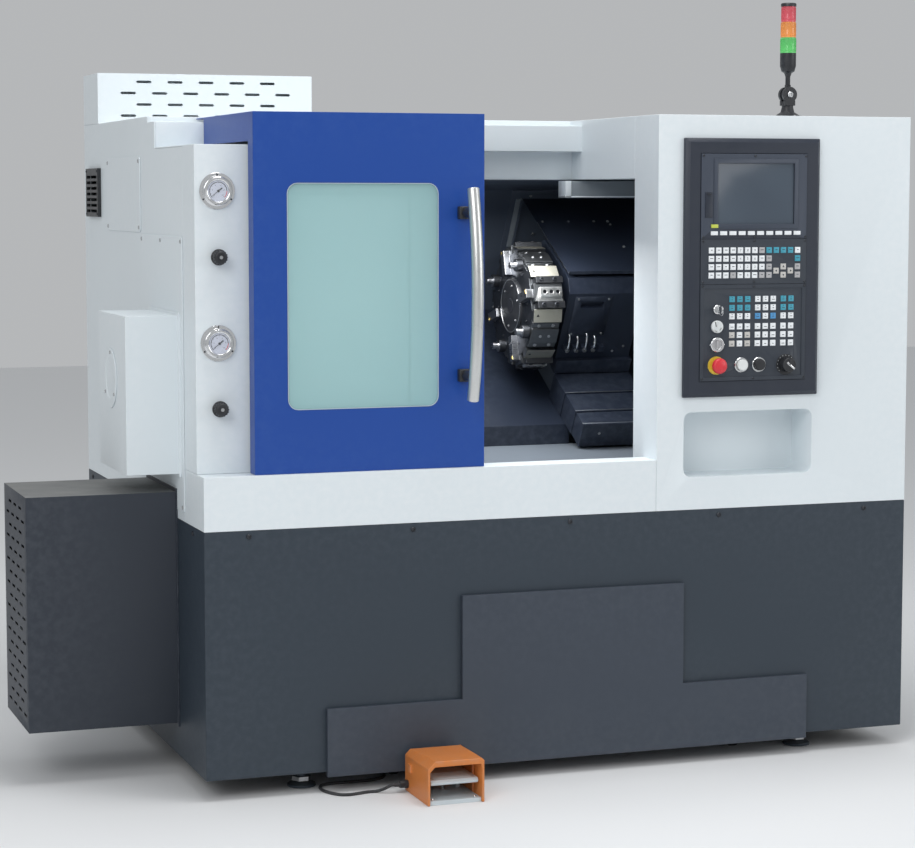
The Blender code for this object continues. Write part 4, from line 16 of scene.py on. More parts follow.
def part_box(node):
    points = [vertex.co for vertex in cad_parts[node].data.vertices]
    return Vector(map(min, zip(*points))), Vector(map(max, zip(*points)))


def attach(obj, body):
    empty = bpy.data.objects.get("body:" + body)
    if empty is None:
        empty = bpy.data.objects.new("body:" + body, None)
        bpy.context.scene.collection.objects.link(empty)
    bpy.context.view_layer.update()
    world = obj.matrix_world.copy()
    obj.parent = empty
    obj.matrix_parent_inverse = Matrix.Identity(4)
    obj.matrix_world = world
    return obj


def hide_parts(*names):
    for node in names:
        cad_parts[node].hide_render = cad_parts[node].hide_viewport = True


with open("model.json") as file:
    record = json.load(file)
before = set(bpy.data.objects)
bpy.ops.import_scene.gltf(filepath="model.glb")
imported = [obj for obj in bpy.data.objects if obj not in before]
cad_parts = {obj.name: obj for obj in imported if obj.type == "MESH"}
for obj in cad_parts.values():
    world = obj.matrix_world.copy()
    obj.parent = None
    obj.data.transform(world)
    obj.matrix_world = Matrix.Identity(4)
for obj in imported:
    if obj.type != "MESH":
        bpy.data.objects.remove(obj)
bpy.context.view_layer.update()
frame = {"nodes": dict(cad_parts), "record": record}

# %% [markdown]
# Sizes in this file are easiest to read from one corner of the machine: its left front corner on
# the floor. The base's box gives that corner, and `at` turns a place measured from it into a point
# of the frame. `link` puts an object into the scene.

# %% One corner to measure from
base_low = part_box("base")[0]
CORNER = Vector((base_low.x, base_low.y, 0))
HERE = Matrix.Translation(CORNER)
FRONT, LEFT, RIGHT, UP = (0, -1, 0), (-1, 0, 0), (1, 0, 0), (0, 0, 1)


def at(x, y, z):
    return CORNER + Vector((x, y, z))


def link(name, data):
    made = bpy.data.objects.new(name, data)
    bpy.context.scene.collection.objects.link(made)
    return made


print("corner at", tuple(round(value, 3) for value in CORNER))

# %% [markdown]
# ## The camera
# The photograph was taken from a place left of the machine, about five metres away, with the lens a
# little over the chuck's height. A long lens keeps the verticals almost parallel. The place and the
# angles are measured from the same corner as everything else, so the render and the photograph can
# be laid over each other.

# %% Camera
EYE = (-1.2866, -5.3798, 1.4104)
TURN_RIGHT = math.radians(19.45)
LOOK_DOWN = math.radians(5.2)
SENSOR = 36
FOCAL_LENGTH = 94.35
VIEW_SHIFT = (0.0038, -0.0092)

lens = bpy.data.cameras.new("camera")
lens.sensor_width = SENSOR
lens.lens = FOCAL_LENGTH
lens.shift_x, lens.shift_y = VIEW_SHIFT
lens.clip_end = 100
camera = link("camera", lens)
camera.location = at(*EYE)
camera.rotation_euler = (math.radians(90) - LOOK_DOWN, 0, -TURN_RIGHT)
bpy.context.scene.camera = camera
print("camera", tuple(round(value, 3) for value in camera.location))

# %% [markdown]
# ## The pedal's cable
# The foot pedal is wired to the machine by a rubber cable that lies loose on the floor. It leaves the
# gland level, drops to the floor within a hand's width, makes one open loop and climbs into a
# bracket under the base. The route is a short list of given points, and a smooth curve runs
# through them, because straight runs with arcs would look like bent wire.

# %% Cable
CABLE_RADIUS = 0.00375
CABLE_ROUTE = [
    (0.4547, -0.057, 0.02), (0.445, -0.057, 0.02), (0.434, -0.056, 0.0192), (0.42, -0.05, 0.011),
    (0.405, -0.04, 0.0045), (0.385, -0.037, 0.0038), (0.36, -0.043, 0.0038), (0.335, -0.048, 0.0038),
    (0.313, -0.04, 0.0038), (0.297, -0.018, 0.0038), (0.287, 0.01, 0.0038), (0.287, 0.04, 0.0038),
    (0.3, 0.062, 0.0038), (0.325, 0.071, 0.0038), (0.36, 0.07, 0.0038), (0.4, 0.069, 0.0038),
    (0.435, 0.074, 0.0038), (0.46, 0.09, 0.0038), (0.471, 0.115, 0.0038), (0.462, 0.145, 0.004),
    (0.435, 0.164, 0.005), (0.405, 0.172, 0.01), (0.38, 0.174, 0.019), (0.36, 0.175, 0.0236),
    (0.347, 0.175, 0.024), (0.3353, 0.175, 0.024),
]


def smooth_route(points, steps):
    """Points on a smooth curve through the given points, a few for each stretch."""
    route = []
    for i in range(len(points) - 1):
        before = points[max(i - 1, 0)]
        start, end = points[i], points[i + 1]
        after = points[min(i + 2, len(points) - 1)]
        for step in range(steps):
            t = step / steps
            route.append(0.5 * (2 * start + (end - before) * t
                                + (2 * before - 5 * start + 4 * end - after) * t * t
                                + (3 * start - before - 3 * end + after) * t ** 3))
    return route + [points[-1]]


def poly_curve(name, points, thickness, rounds):
    """A round bar along points, as a curve with a bevel."""
    curve = bpy.data.curves.new(name, "CURVE")
    curve.dimensions = "3D"
    curve.bevel_depth = thickness
    curve.bevel_resolution = rounds
    curve.use_fill_caps = True
    line = curve.splines.new("POLY")
    line.points.add(len(points) - 1)
    for spot, point in zip(line.points, points):
        spot.co = (*point, 1)
    return curve


cable_points = smooth_route([at(*point) for point in CABLE_ROUTE], 5)
cable_curve = poly_curve("rubber_cable", cable_points, 1.0, 4)
for spline_point in cable_curve.splines[0].points:
    spline_point.radius = CABLE_RADIUS
cable = link("rubber_cable", cable_curve)
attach(cable, "machine")
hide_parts("pedal_cable")

# %% [markdown]
# ## Floor and light
# A pale floor and a pale surround give the soft, nearly shadowless light of a product picture. One
# large panel from the left front models the sheet metal, a weaker one from the right lifts the
# shaded side, and a third shines down from above. A small lamp hangs in the working space, which
# would stay black otherwise. The camera sees the light of the panels, but not the panels.

# %% Stage
FLOOR_HALF = 14.0
FLOOR_COLOUR = (0.8, 0.81, 0.82, 1.0)
FLOOR_ROUGHNESS = 0.9
SURROUND_COLOUR = (0.93, 0.95, 0.97, 1.0)
SURROUND_STRENGTH = 0.5
PANELS = [
    ("key_panel", (-3.4, -4.6, 4.2), (0.8, 0.4, 0.9), 3.2, 130),
    ("fill_panel", (5.4, -3.6, 2.6), (0.9, 0.4, 0.9), 3.0, 60),
    ("top_panel", (0.9, -0.3, 4.6), (0.9, 0.5, 0.8), 2.4, 92),
    ("work_lamp", (0.82, 0.42, 1.31), (0.87, 0.48, 0.7), 0.4, 4.6),
]

floor_mesh = bmesh.new()
bmesh.ops.create_grid(floor_mesh, x_segments=1, y_segments=1, size=FLOOR_HALF)
floor_data = bpy.data.meshes.new("studio_floor")
floor_mesh.to_mesh(floor_data)
floor_mesh.free()
studio_floor = link("studio_floor", floor_data)
floor_paint = bpy.data.materials.new("studio_floor")
floor_paint.use_nodes = True
floor_shader = floor_paint.node_tree.nodes["Principled BSDF"]
floor_shader.inputs["Base Color"].default_value = FLOOR_COLOUR
floor_shader.inputs["Roughness"].default_value = FLOOR_ROUGHNESS
floor_data.materials.append(floor_paint)

surround = bpy.data.worlds.new("surround")
surround.use_nodes = True
surround_light = surround.node_tree.nodes["Background"].inputs
surround_light["Color"].default_value = SURROUND_COLOUR
surround_light["Strength"].default_value = SURROUND_STRENGTH
bpy.context.scene.world = surround
bpy.context.scene.view_settings.view_transform = "Standard"

for name, place, target, size, power in PANELS:
    panel = bpy.data.lights.new(name, "AREA")
    panel.shape = "SQUARE"
    panel.size = size
    panel.energy = power
    holder = link(name, panel)
    holder.location = at(*place)
    holder.visible_camera = False
    holder.rotation_euler = (at(*target) - at(*place)).to_track_quat("-Z", "Y").to_euler()
print("lit by", len(PANELS), "panels")

# %% [markdown]
# ## Building blocks for shaders
# A shader is a small network, and wiring it by hand takes many lines. `Net` keeps one network and
# adds nodes to it: a keyword names the input, and its value is either a number or another node's
# output.

# %% Shader wiring
SURFACE = {"Colour": "Color", "Roughness": "Float", "Normal": "Vector"}
KIND_OF_LENGTH = {3: "Vector", 4: "Color"}


class Net:
    def __init__(self, tree):
        self.tree = tree

    def add(self, kind, output=0, **inputs):
        node = self.tree.nodes.new("ShaderNode" + kind)
        for label, value in inputs.items():
            self.feed(node.inputs[label.replace("_", " ")], value)
        return node.outputs[output]

    def feed(self, socket, value):
        if isinstance(value, bpy.types.NodeSocket):
            self.tree.links.new(value, socket)
        else:
            socket.default_value = value

    def math(self, operation, first, second):
        node = self.tree.nodes.new("ShaderNodeMath")
        node.operation = operation
        self.feed(node.inputs[0], first)
        self.feed(node.inputs[1], second)
        return node.outputs[0]

    def mix(self, factor, first, second):
        node = self.tree.nodes.new("ShaderNodeMix")
        node.data_type = "RGBA"
        for index, value in ((0, factor), (6, first), (7, second)):
            self.feed(node.inputs[index], value)
        return node.outputs[2]

    def span(self, value, low, high, to_low=0.0, to_high=1.0):
        return self.add("MapRange", Value=value, From_Min=low, From_Max=high, To_Min=to_low,
                        To_Max=to_high)

    def place(self):
        """Where a point lies on its object."""
        return self.add("TexCoord", 3)

    def noise(self, place, scale, detail=2.0, roughness=0.5):
        return self.add("TexNoise", Vector=place, Scale=scale, Detail=detail, Roughness=roughness)

    def bump(self, depth, distance, height):
        return self.add("Bump", Strength=depth, Distance=distance, Height=height)


def shader_group(name, inputs, outputs=SURFACE):
    """An empty node group with named sockets, and its Net, input node and output node."""
    group = bpy.data.node_groups.new(name, "ShaderNodeTree")
    for label, value in inputs.items():
        kind = "Float" if isinstance(value, float) else KIND_OF_LENGTH[len(value)]
        socket = group.interface.new_socket(label, in_out="INPUT", socket_type="NodeSocket" + kind)
        socket.default_value = value
    for label, kind in outputs.items():
        group.interface.new_socket(label, in_out="OUTPUT", socket_type="NodeSocket" + kind)
    entry = group.nodes.new("NodeGroupInput")
    leave = group.nodes.new("NodeGroupOutput")
    return group, Net(group), entry.outputs, leave.inputs


def srgb(red, green, blue):
    """A colour given as in a painting program, 0 to 255, as linear light."""
    def linear(value):
        share = value / 255
        return share / 12.92 if share <= 0.04045 else ((share + 0.055) / 1.055) ** 2.4
    return (linear(red), linear(green), linear(blue), 1.0)


print("white sheet is", [round(value, 3) for value in srgb(224, 232, 236)[:3]])

# %% [markdown]
# ## Powder coat
# Sheet metal on machine tools is powder coated: a fine orange peel, a faint cloudiness where the coat
# is thicker, and a little grey dust low down and on top faces. A single colour would look like
# plastic. The group below takes the colour and the amounts, so the white, slate, blue and black
# sheets share one recipe.

# %% Powder coat group
coat_group, net, given, result = shader_group("Powder coat", {
    "Colour": (0.5, 0.5, 0.5, 1.0), "Grain size": 700.0, "Grain depth": 0.25, "Cloud": 0.06, "Dust": 0.1,
    "Dust colour": srgb(150, 150, 146), "Top dust": 0.0, "Roughness": 0.45})
place = net.place()
peel = net.noise(place, given["Grain size"])
cloud = net.noise(place, 2.3, 5.0, 0.55)
smear = net.noise(place, 14.0, 4.0, 0.6)
shade = net.math("MULTIPLY", net.span(cloud, 0.3, 0.7, -1.0, 1.0), given["Cloud"])
tone = net.tree.nodes.new("ShaderNodeVectorMath")
tone.operation = "SCALE"
net.feed(tone.inputs[0], given["Colour"])
net.feed(tone.inputs["Scale"], net.math("ADD", 1.0, shade))
low_down = net.span(net.add("SeparateXYZ", 2, Vector=place), 0.35, 0.02)
lift = net.math("MULTIPLY", low_down, net.span(smear, 0.35, 0.75))
dust = net.math("MULTIPLY", net.math("ADD", lift, net.span(smear, 0.62, 0.85, 0.0, 0.3)), given["Dust"])
facing_up = net.span(net.add("SeparateXYZ", 2, Vector=net.add("NewGeometry", "Normal")), 0.7, 0.95)
settled = net.math("MULTIPLY", net.math("MULTIPLY", facing_up, net.span(smear, 0.2, 0.7, 0.6, 1.0)),
                   given["Top dust"])
dust = net.math("MAXIMUM", dust, settled)
net.feed(result["Colour"], net.mix(dust, tone.outputs[0], given["Dust colour"]))
net.feed(result["Roughness"], net.math("ADD", given["Roughness"], net.span(smear, 0.3, 0.7, -0.01, 0.012)))
net.feed(result["Normal"], net.bump(given["Grain depth"], 0.0004, peel))
print("powder coat has", len(coat_group.nodes), "nodes")

# %% [markdown]
# ## Lighter edges: painted highlight and wear
# Corners of painted sheet catch light and lose a little paint, and both are painted here as a lighter
# edge colour: a painted highlight with some wear. The renderer knows how sharply the surface turns at
# each vertex, and a noise breaks that line up, so that the lighter edge is never even.

# %% Edge highlight and wear group
edge_highlight_group, net, given, result = shader_group("Edge highlight and wear", {"Amount": 0.5, "Patch size": 60.0},
                                              {"Mask": "Float"})
# Where the surface turns sharply the mask rises: a painted highlight along the edges, broken by noise as
# wear.
edge = net.span(net.add("NewGeometry", "Pointiness"), 0.53, 0.62)
patch = net.noise(net.place(), given["Patch size"], 4.0)
net.feed(result["Mask"], net.math("MULTIPLY", net.math("MULTIPLY", edge, net.span(patch, 0.4, 0.7)),
                                  given["Amount"]))
print("edge wear has", len(edge_highlight_group.nodes), "nodes")

# %% [markdown]
# ## Brushed and ground steel
# A ground face carries fine parallel lines, and a turned one carries rings. Both are a noise that is
# stretched far along one direction. The stretch is an input, so that the handle, the turret and the
# chuck can each run their lines the right way.

# %% Steel grain group
grain_group, net, given, result = shader_group("Steel grain", {
    "Colour": (0.5, 0.5, 0.5, 1.0), "Stretch": (40.0, 40.0, 1500.0), "Depth": 0.12, "Roughness": 0.3,
    "Stain": 0.2})
place = net.place()
lines = net.noise(net.add("Mapping", Vector=place, Scale=given["Stretch"]), 1.0, 3.0, 0.6)
stain = net.noise(place, 22.0, 5.0, 0.65)
dim = net.math("MULTIPLY", net.span(stain, 0.45, 0.75), given["Stain"])
net.feed(result["Colour"], net.mix(dim, given["Colour"], srgb(70, 68, 62)))
swing = net.math("ADD", net.span(lines, 0.3, 0.7, -0.07, 0.07), net.span(stain, 0.4, 0.8, 0.0, 0.12))
net.feed(result["Roughness"], net.math("ADD", given["Roughness"], swing))
net.feed(result["Normal"], net.bump(given["Depth"], 0.0002, lines))
print("steel grain has", len(grain_group.nodes), "nodes")

# %% [markdown]
# ## Moulded plastic and rubber
# Plastic housings have a spark eroded grain, much coarser than orange peel and quite flat in gloss.
# Rubber adds a bloom of grey. One group serves both, because only the amounts differ.

# %% Plastic group
plastic_group, net, given, result = shader_group("Moulded plastic", {
    "Colour": (0.1, 0.1, 0.1, 1.0), "Grain size": 1400.0, "Grain depth": 0.15, "Bloom": 0.05,
    "Roughness": 0.4})
place = net.place()
spark = net.add("TexVoronoi", "Distance", Vector=place, Scale=given["Grain size"])
haze = net.noise(place, 35.0, 4.0, 0.6)
veil = net.math("MULTIPLY", net.span(haze, 0.4, 0.75), given["Bloom"])
net.feed(result["Colour"], net.mix(veil, given["Colour"], srgb(128, 130, 132)))
net.feed(result["Roughness"], net.math("ADD", given["Roughness"], net.span(haze, 0.3, 0.7, -0.05, 0.07)))
net.feed(result["Normal"], net.bump(given["Grain depth"], 0.0002, spark))
print("plastic has", len(plastic_group.nodes), "nodes")

# %% [markdown]
# ## Finishes
# Each finish is one material: a Principled shader with a recipe group in front of it. Values that are
# the same all over are set on the shader's own sockets.

# %% Finish makers


def new_material(name, metallic=0.0):
    material = bpy.data.materials.new(name)
    material.use_nodes = True
    shader = material.node_tree.nodes["Principled BSDF"]
    shader.inputs["Metallic"].default_value = metallic
    return material, Net(material.node_tree), shader


def add_recipe(net, group, **values):
    node = net.tree.nodes.new("ShaderNodeGroup")
    node.node_tree = group
    for label, value in values.items():
        net.feed(node.inputs[label.replace("_", " ")], value)
    return node.outputs


def use_recipe(net, shader, recipe, colour=None):
    net.feed(shader.inputs["Base Color"], recipe["Colour"] if colour is None else colour)
    net.feed(shader.inputs["Roughness"], recipe["Roughness"])
    net.feed(shader.inputs["Normal"], recipe["Normal"])


def coated(name, colour, roughness, depth, cloud, dust, edge_highlight_and_wear_colour=None, edge_highlight_and_wear=0.0, top_dust=0.0):
    """Powder coated sheet, whose edges get a lighter colour, a painted highlight with some wear, where the
    edge amount is over zero.
    """
    material, net, shader = new_material(name)
    coat = add_recipe(net, coat_group, Colour=srgb(*colour), Roughness=roughness, Grain_depth=depth,
                      Cloud=cloud, Dust=dust, Top_dust=top_dust)
    top = coat["Colour"]
    # A lighter colour along the edges: a painted highlight, with some wear.
    if edge_highlight_and_wear:
        edge = add_recipe(net, edge_highlight_group, Amount=edge_highlight_and_wear)
        top = net.mix(edge["Mask"], top, srgb(*edge_highlight_and_wear_colour))
    use_recipe(net, shader, coat, top)
    return material


def steel(name, colour, stretch, roughness, depth, stain):
    material, net, shader = new_material(name, metallic=1.0)
    use_recipe(net, shader, add_recipe(net, grain_group, Colour=(*colour, 1.0), Stretch=stretch,
                                       Depth=depth, Roughness=roughness, Stain=stain))
    return material


def plastic(name, colour, roughness, depth, bloom):
    material, net, shader = new_material(name)
    use_recipe(net, shader, add_recipe(net, plastic_group, Colour=srgb(*colour), Roughness=roughness,
                                       Grain_depth=depth, Bloom=bloom))
    return material


# %% The machine's finishes
EVEN = (200.0, 200.0, 200.0)
# The colour after the dust amount is painted on the edges, and the number after it says how much: a painted
# highlight with some wear.
WHITE = coated("white sheet", (224, 232, 236), 0.42, 0.2, 0.012, 0.03, (240, 243, 245), 0.5)
SLATE = coated("slate sheet", (43, 54, 65), 0.5, 0.3, 0.01, 0.02, (120, 128, 136), 0.15, 0.2)
TANK_SLATE = coated("tank sheet", (55, 63, 75), 0.55, 0.2, 0.012, 0.03, (120, 128, 136), 0.15)
BLACK = coated("black sheet", (41, 48, 59), 0.5, 0.3, 0.01, 0.03, (110, 116, 122), 0.4, 0.62)
BLUE = coated("blue door sheet", (17, 69, 154), 0.38, 0.2, 0.01, 0.0, (96, 130, 190), 0.12)
INTERIOR = coated("interior sheet", (80, 89, 102), 0.36, 0.25, 0.03, 0.06, (96, 104, 116), 0.5)
PAN_GREY = coated("chip pan sheet", (122, 131, 141), 0.36, 0.25, 0.05, 0.12, (126, 132, 138), 0.5)
DARK_COVER = coated("dark cover sheet", (40, 47, 61), 0.33, 0.25, 0.03, 0.06, (96, 104, 116), 0.5)
CASTING = coated("painted casting", (112, 120, 126), 0.6, 0.9, 0.12, 0.3)
ORANGE = coated("orange casting", (214, 128, 60), 0.42, 0.9, 0.04, 0.08, (170, 160, 150), 0.6)
TREAD = coated("tread paint", (205, 215, 220), 0.5, 0.6, 0.05, 0.1)
PANEL_GREY = plastic("control housing", (36, 43, 56), 0.42, 0.2, 0.02)
KEYPAD_GREY = plastic("keypad film", (48, 55, 65), 0.42, 0.1, 0.02)
BLACK_PLASTIC = plastic("black plastic", (34, 36, 40), 0.38, 0.15, 0.06)
WHITE_PLASTIC = plastic("white plastic", (226, 230, 230), 0.35, 0.1, 0.02)
RED_PLASTIC = plastic("red plastic", (216, 52, 62), 0.3, 0.05, 0.02)
YELLOW_PLASTIC = plastic("yellow plastic", (222, 190, 60), 0.35, 0.05, 0.02)
RUBBER = plastic("black rubber", (40, 41, 44), 0.62, 0.35, 0.22)
BRUSHED = steel("brushed steel", (0.68, 0.69, 0.68), (900.0, 900.0, 12.0), 0.3, 0.15, 0.05)
GROUND = steel("ground steel", (0.62, 0.6, 0.56), (30.0, 900.0, 900.0), 0.32, 0.15, 0.25)
DARK_STEEL = steel("blued steel", (0.16, 0.17, 0.18), (60.0, 500.0, 500.0), 0.42, 0.12, 0.2)
CHROME = steel("bright chrome", (0.82, 0.83, 0.84), (80.0, 80.0, 80.0), 0.12, 0.02, 0.03)
SCREW_STEEL = steel("screw steel", (0.52, 0.53, 0.54), EVEN, 0.32, 0.05, 0.2)
DARK_SCREW = steel("black screw", (0.07, 0.075, 0.085), EVEN, 0.4, 0.05, 0.2)
print(len(bpy.data.materials), "materials")

# %% [markdown]
# ## Glass
# The door's pane is tinted laminated glass, pale aqua, and what is behind it still shows. Its aqua is
# painted lighter than the glass's own tint: a painted reflection. True refraction would leave the
# narrow space behind the pane black, so the tint is a part transparent film: the light passes straight
# through it, and the reflections stay on top. The same maker serves the screen, whose grey is a
# painted reflection, and the clear panes of the gauges.

# %% Glass


def glassy(name, dark, pale, scale, roughness, alpha=1.0):
    """A smooth sheet whose tint drifts a little between two colours."""
    material, net, shader = new_material(name)
    drift = net.span(net.noise(net.place(), scale), 0.3, 0.7)
    net.feed(shader.inputs["Base Color"], net.mix(drift, srgb(*dark), srgb(*pale)))
    shader.inputs["Roughness"].default_value = roughness
    shader.inputs["Alpha"].default_value = alpha
    return material


# The pale aqua is partly the glass's tint and partly a painted reflection.
PANE_TINT_AND_REFLECTION = glassy("tinted pane with painted reflection", (176, 219, 221), (184, 225, 226), 1.6, 0.12, 0.5)
print("pane lets", 1 - PANE_TINT_AND_REFLECTION.node_tree.nodes["Principled BSDF"].inputs["Alpha"].default_value, "through")

# %% [markdown]
# ## Dress the solids
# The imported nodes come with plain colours. This table gives each one its finish; those whose shape
# is already right keep their mesh and only change their material.

# %% Finishes of the nodes
NODE_FINISHES = (
    (WHITE, "front_apron headstock_cover side_walls roof_header control_cabinet side_panel_upper "
            "side_panel_lower spindle_cover bar_hole_disc roof_vent"),
    (SLATE, "base"), (TANK_SLATE, "coolant_tank"), (BLACK, "motor_cover"), (BLUE, "door"),
    (INTERIOR, "interior_lining"), (PAN_GREY, "chip_pan"), (ORANGE, "pedal_hood"),
    (DARK_COVER, "turret_shroud turret_slide carriage_cover cover_plate_1 cover_plate_2"),
    (CASTING, "slant_bed headstock carriage spindle_motor"),
    (GROUND, "spindle chuck_body chuck_jaw_1 chuck_jaw_2 chuck_jaw_3"),
    (DARK_STEEL, "turret_disc"), (PANE_TINT_AND_REFLECTION, "door_window"), (BRUSHED, "door_handle"),
    (PANEL_GREY, "control_frame display_unit"), (KEYPAD_GREY, "keyboard_unit operator_unit"),
    (RED_PLASTIC, "estop_button tower_lenses"), (WHITE_PLASTIC, "white_button mode_selector"),
    (CHROME, "key_switch ring_switch gauge_upper gauge_lower"), (TREAD, "pedal_base pedal_treadle"),
    (BLACK_PLASTIC, "black_button override_knob regulator_knob_upper regulator_knob_lower fan_grille "
                    "tower_foot tower_arm"),
    (RUBBER, "tank_wheel_front_left tank_wheel_back_left tank_wheel_front_right tank_wheel_back_right"),
)
for material, names in NODE_FINISHES:
    for node_name in names.split():
        finishes = frame["nodes"][node_name].data.materials
        finishes.clear()
        finishes.append(material)
cable_curve.materials.append(RUBBER)
print(sum(len(names.split()) for material, names in NODE_FINISHES), "solids dressed")

# %% [markdown]
# ## Piece makers
# New pieces are built from a few plain operators: a cube with rounded edges, a turned profile, a bent
# bar and a screw. `pour` adds one such shape to a piece. `finish_piece` closes the piece, gives it
# its finish, and ties it to the body of a imported solid. Where the piece stands for that
# solid, the solid is hidden behind it.

# %% Closing a piece
MERGE = 0.00001
SHARP = math.radians(40)
BEND = math.radians(30)
FLAT = math.radians(1)
BODY_OF = {name: body for body, names in frame["record"]["behaviour"]["bodies"].items() for name in names}


def finish_piece(name, piece, node_name, *materials, replaced=False, slot=None):
    """Merge, point the faces outwards, make the object, and tie it to a solid's body."""
    bmesh.ops.remove_doubles(piece, verts=piece.verts[:], dist=MERGE)
    bmesh.ops.recalc_face_normals(piece, faces=piece.faces[:])
    mesh = bpy.data.meshes.new(name)
    piece.to_mesh(mesh)
    piece.free()
    mesh.shade_smooth()
    mesh.set_sharp_from_angle(angle=SHARP)
    for material in materials:
        mesh.materials.append(material)
    made = link(name, mesh)
    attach(made, BODY_OF[node_name])
    if replaced:
        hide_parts(node_name)
    return made


def soft_edges(made, width, segments=2):
    """Round every edge that turns by more than 30 degrees, and keep the flat faces flat."""
    bevel = made.modifiers.new("soft edges", "BEVEL")
    bevel.width = width
    bevel.segments = segments
    bevel.limit_method = "ANGLE"
    bevel.angle_limit = BEND
    bevel.harden_normals = True
    bevel.use_clamp_overlap = False
    return made


def soften(node_name, width, segments=2, slot=None):
    """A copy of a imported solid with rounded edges, which stands for it."""
    node = frame["nodes"][node_name]
    piece = bmesh.new()
    piece.from_mesh(node.data)
    piece.transform(node.matrix_world)
    bmesh.ops.remove_doubles(piece, verts=piece.verts[:], dist=MERGE)
    bmesh.ops.dissolve_limit(piece, angle_limit=FLAT, verts=piece.verts[:], edges=piece.edges[:])
    made = finish_piece("soft_" + node_name, piece, node_name, *node.data.materials, replaced=True,
                        slot=slot)
    return soft_edges(made, width, segments)


def paint(made, material, test):
    """Give another finish to those faces of a piece whose middle passes a test, from the corner."""
    made.data.materials.append(material)
    count = 0
    for polygon in made.data.polygons:
        if test(*(polygon.center - CORNER)):
            polygon.material_index = len(made.data.materials) - 1
            count += 1
    return count


# %% [markdown]
# The shapes below are made round the origin, or straight in the corner's measure, and each call
# says where its own middle and direction lie.

# %% Shapes
SCREW_SIDES = 12
CROWN_STEPS = ((0.22, 0.22), (0.25, 0.0), (0.06, -0.25))


def pour(piece, part, place=HERE, material=0):
    """Add one shape to a piece, moved into place."""
    bmesh.ops.remove_doubles(part, verts=part.verts[:], dist=MERGE)
    for face in part.faces:
        face.material_index = material
    part.transform(place)
    carrier = bpy.data.meshes.new("carrier")
    part.to_mesh(carrier)
    part.free()
    piece.from_mesh(carrier)
    bpy.data.meshes.remove(carrier)


def pointing(place, direction):
    """Carry the origin to a place and turn the Z axis to a direction."""
    return Matrix.Translation(place) @ Vector(direction).to_track_quat("Z", "Y").to_matrix().to_4x4()


def aim(place, direction):
    """The same for a place measured from the corner."""
    return HERE @ pointing(place, direction)


def turn_about_z(degrees):
    return Matrix.Rotation(math.radians(degrees), 4, "Z")


def around(radius, degrees, height=0.0):
    """A point on a circle round the Z axis."""
    angle = math.radians(degrees)
    return Vector((radius * math.cos(angle), radius * math.sin(angle), height))


def block(piece, low, high, material=0, edge=0.0, place=HERE):
    """A box between two corners, with rounded edges where an edge width is given."""
    low, high = Vector(low), Vector(high)
    part = bmesh.new()
    bmesh.ops.create_cube(part, size=1, matrix=Matrix.Translation((low + high) / 2)
                          @ Matrix.Diagonal((*(high - low), 1)))
    if edge:
        bmesh.ops.bevel(part, geom=part.edges[:], offset=edge, offset_type="OFFSET", affect="EDGES",
                        segments=2, profile=0.5, material=-1, clamp_overlap=True)
    pour(piece, part, place, material)


def bar(piece, radius, start, end, material=0, sides=20):
    """A straight round bar."""
    start, end = Vector(start), Vector(end)
    part = bmesh.new()
    bmesh.ops.create_cone(part, cap_ends=True, segments=sides, radius1=radius, radius2=radius,
                          depth=(end - start).length, matrix=pointing((start + end) / 2, end - start))
    pour(piece, part, HERE, material)


def wedge(piece, place, material, radius, end_radius=None, depth=0.0):
    """A flat triangle, or a low three sided block where it has a depth."""
    part = bmesh.new()
    if depth:
        bmesh.ops.create_cone(part, cap_ends=True, segments=3, radius1=radius, radius2=end_radius,
                              depth=depth)
    else:
        bmesh.ops.create_circle(part, cap_ends=True, segments=3, radius=radius)
    pour(piece, part, place, material)


def turned(piece, profile, place, material=0, sides=32):
    """A turned shape: a profile of radius and height, spun round the Z axis."""
    part = bmesh.new()
    points = [part.verts.new((radius, 0, height)) for radius, height in profile]
    lines = [part.edges.new(pair) for pair in zip(points, points[1:])]
    bmesh.ops.spin(part, geom=points + lines, axis=(0, 0, 1), cent=(0, 0, 0), angle=math.tau,
                   steps=sides, use_merge=True)
    pour(piece, part, place, material)


def flat_arc(piece, radius, width, first, last, place, material=0, steps=24):
    """A flat strip along an arc, as printed on a dial; angles in degrees."""
    part = bmesh.new()
    turn = Matrix.Rotation(math.radians(first), 3, "Z")
    ends = [part.verts.new(turn @ Vector((radius + side * width / 2, 0, 0))) for side in (-1, 1)]
    bmesh.ops.spin(part, geom=ends + [part.edges.new(ends)], axis=(0, 0, 1), cent=(0, 0, 0),
                   angle=math.radians(last - first), steps=steps, use_merge=False)
    pour(piece, part, place, material)


def pour_curve(piece, curve, place, material):
    """Take a curve's shape over as a mesh, and add it to a piece."""
    holder = bpy.data.objects.new("holder", curve)
    mesh = bpy.data.meshes.new_from_object(holder)
    part = bmesh.new()
    part.from_mesh(mesh)
    bpy.data.objects.remove(holder)
    bpy.data.curves.remove(curve)
    bpy.data.meshes.remove(mesh)
    pour(piece, part, place, material)


def bent(piece, radius, points, material=0, place=HERE, rounds=3):
    """A bar bent along points."""
    pour_curve(piece, poly_curve("path", points, radius, rounds), place, material)


def digits(piece, text, size, place, material=0):
    """Digits as flat shapes that stand a hair above their dial."""
    letters = bpy.data.curves.new("digits", "FONT")
    letters.body = text
    letters.size = size
    letters.align_x = "CENTER"
    letters.align_y = "CENTER"
    letters.resolution_u = 2
    pour_curve(piece, letters, place, material)


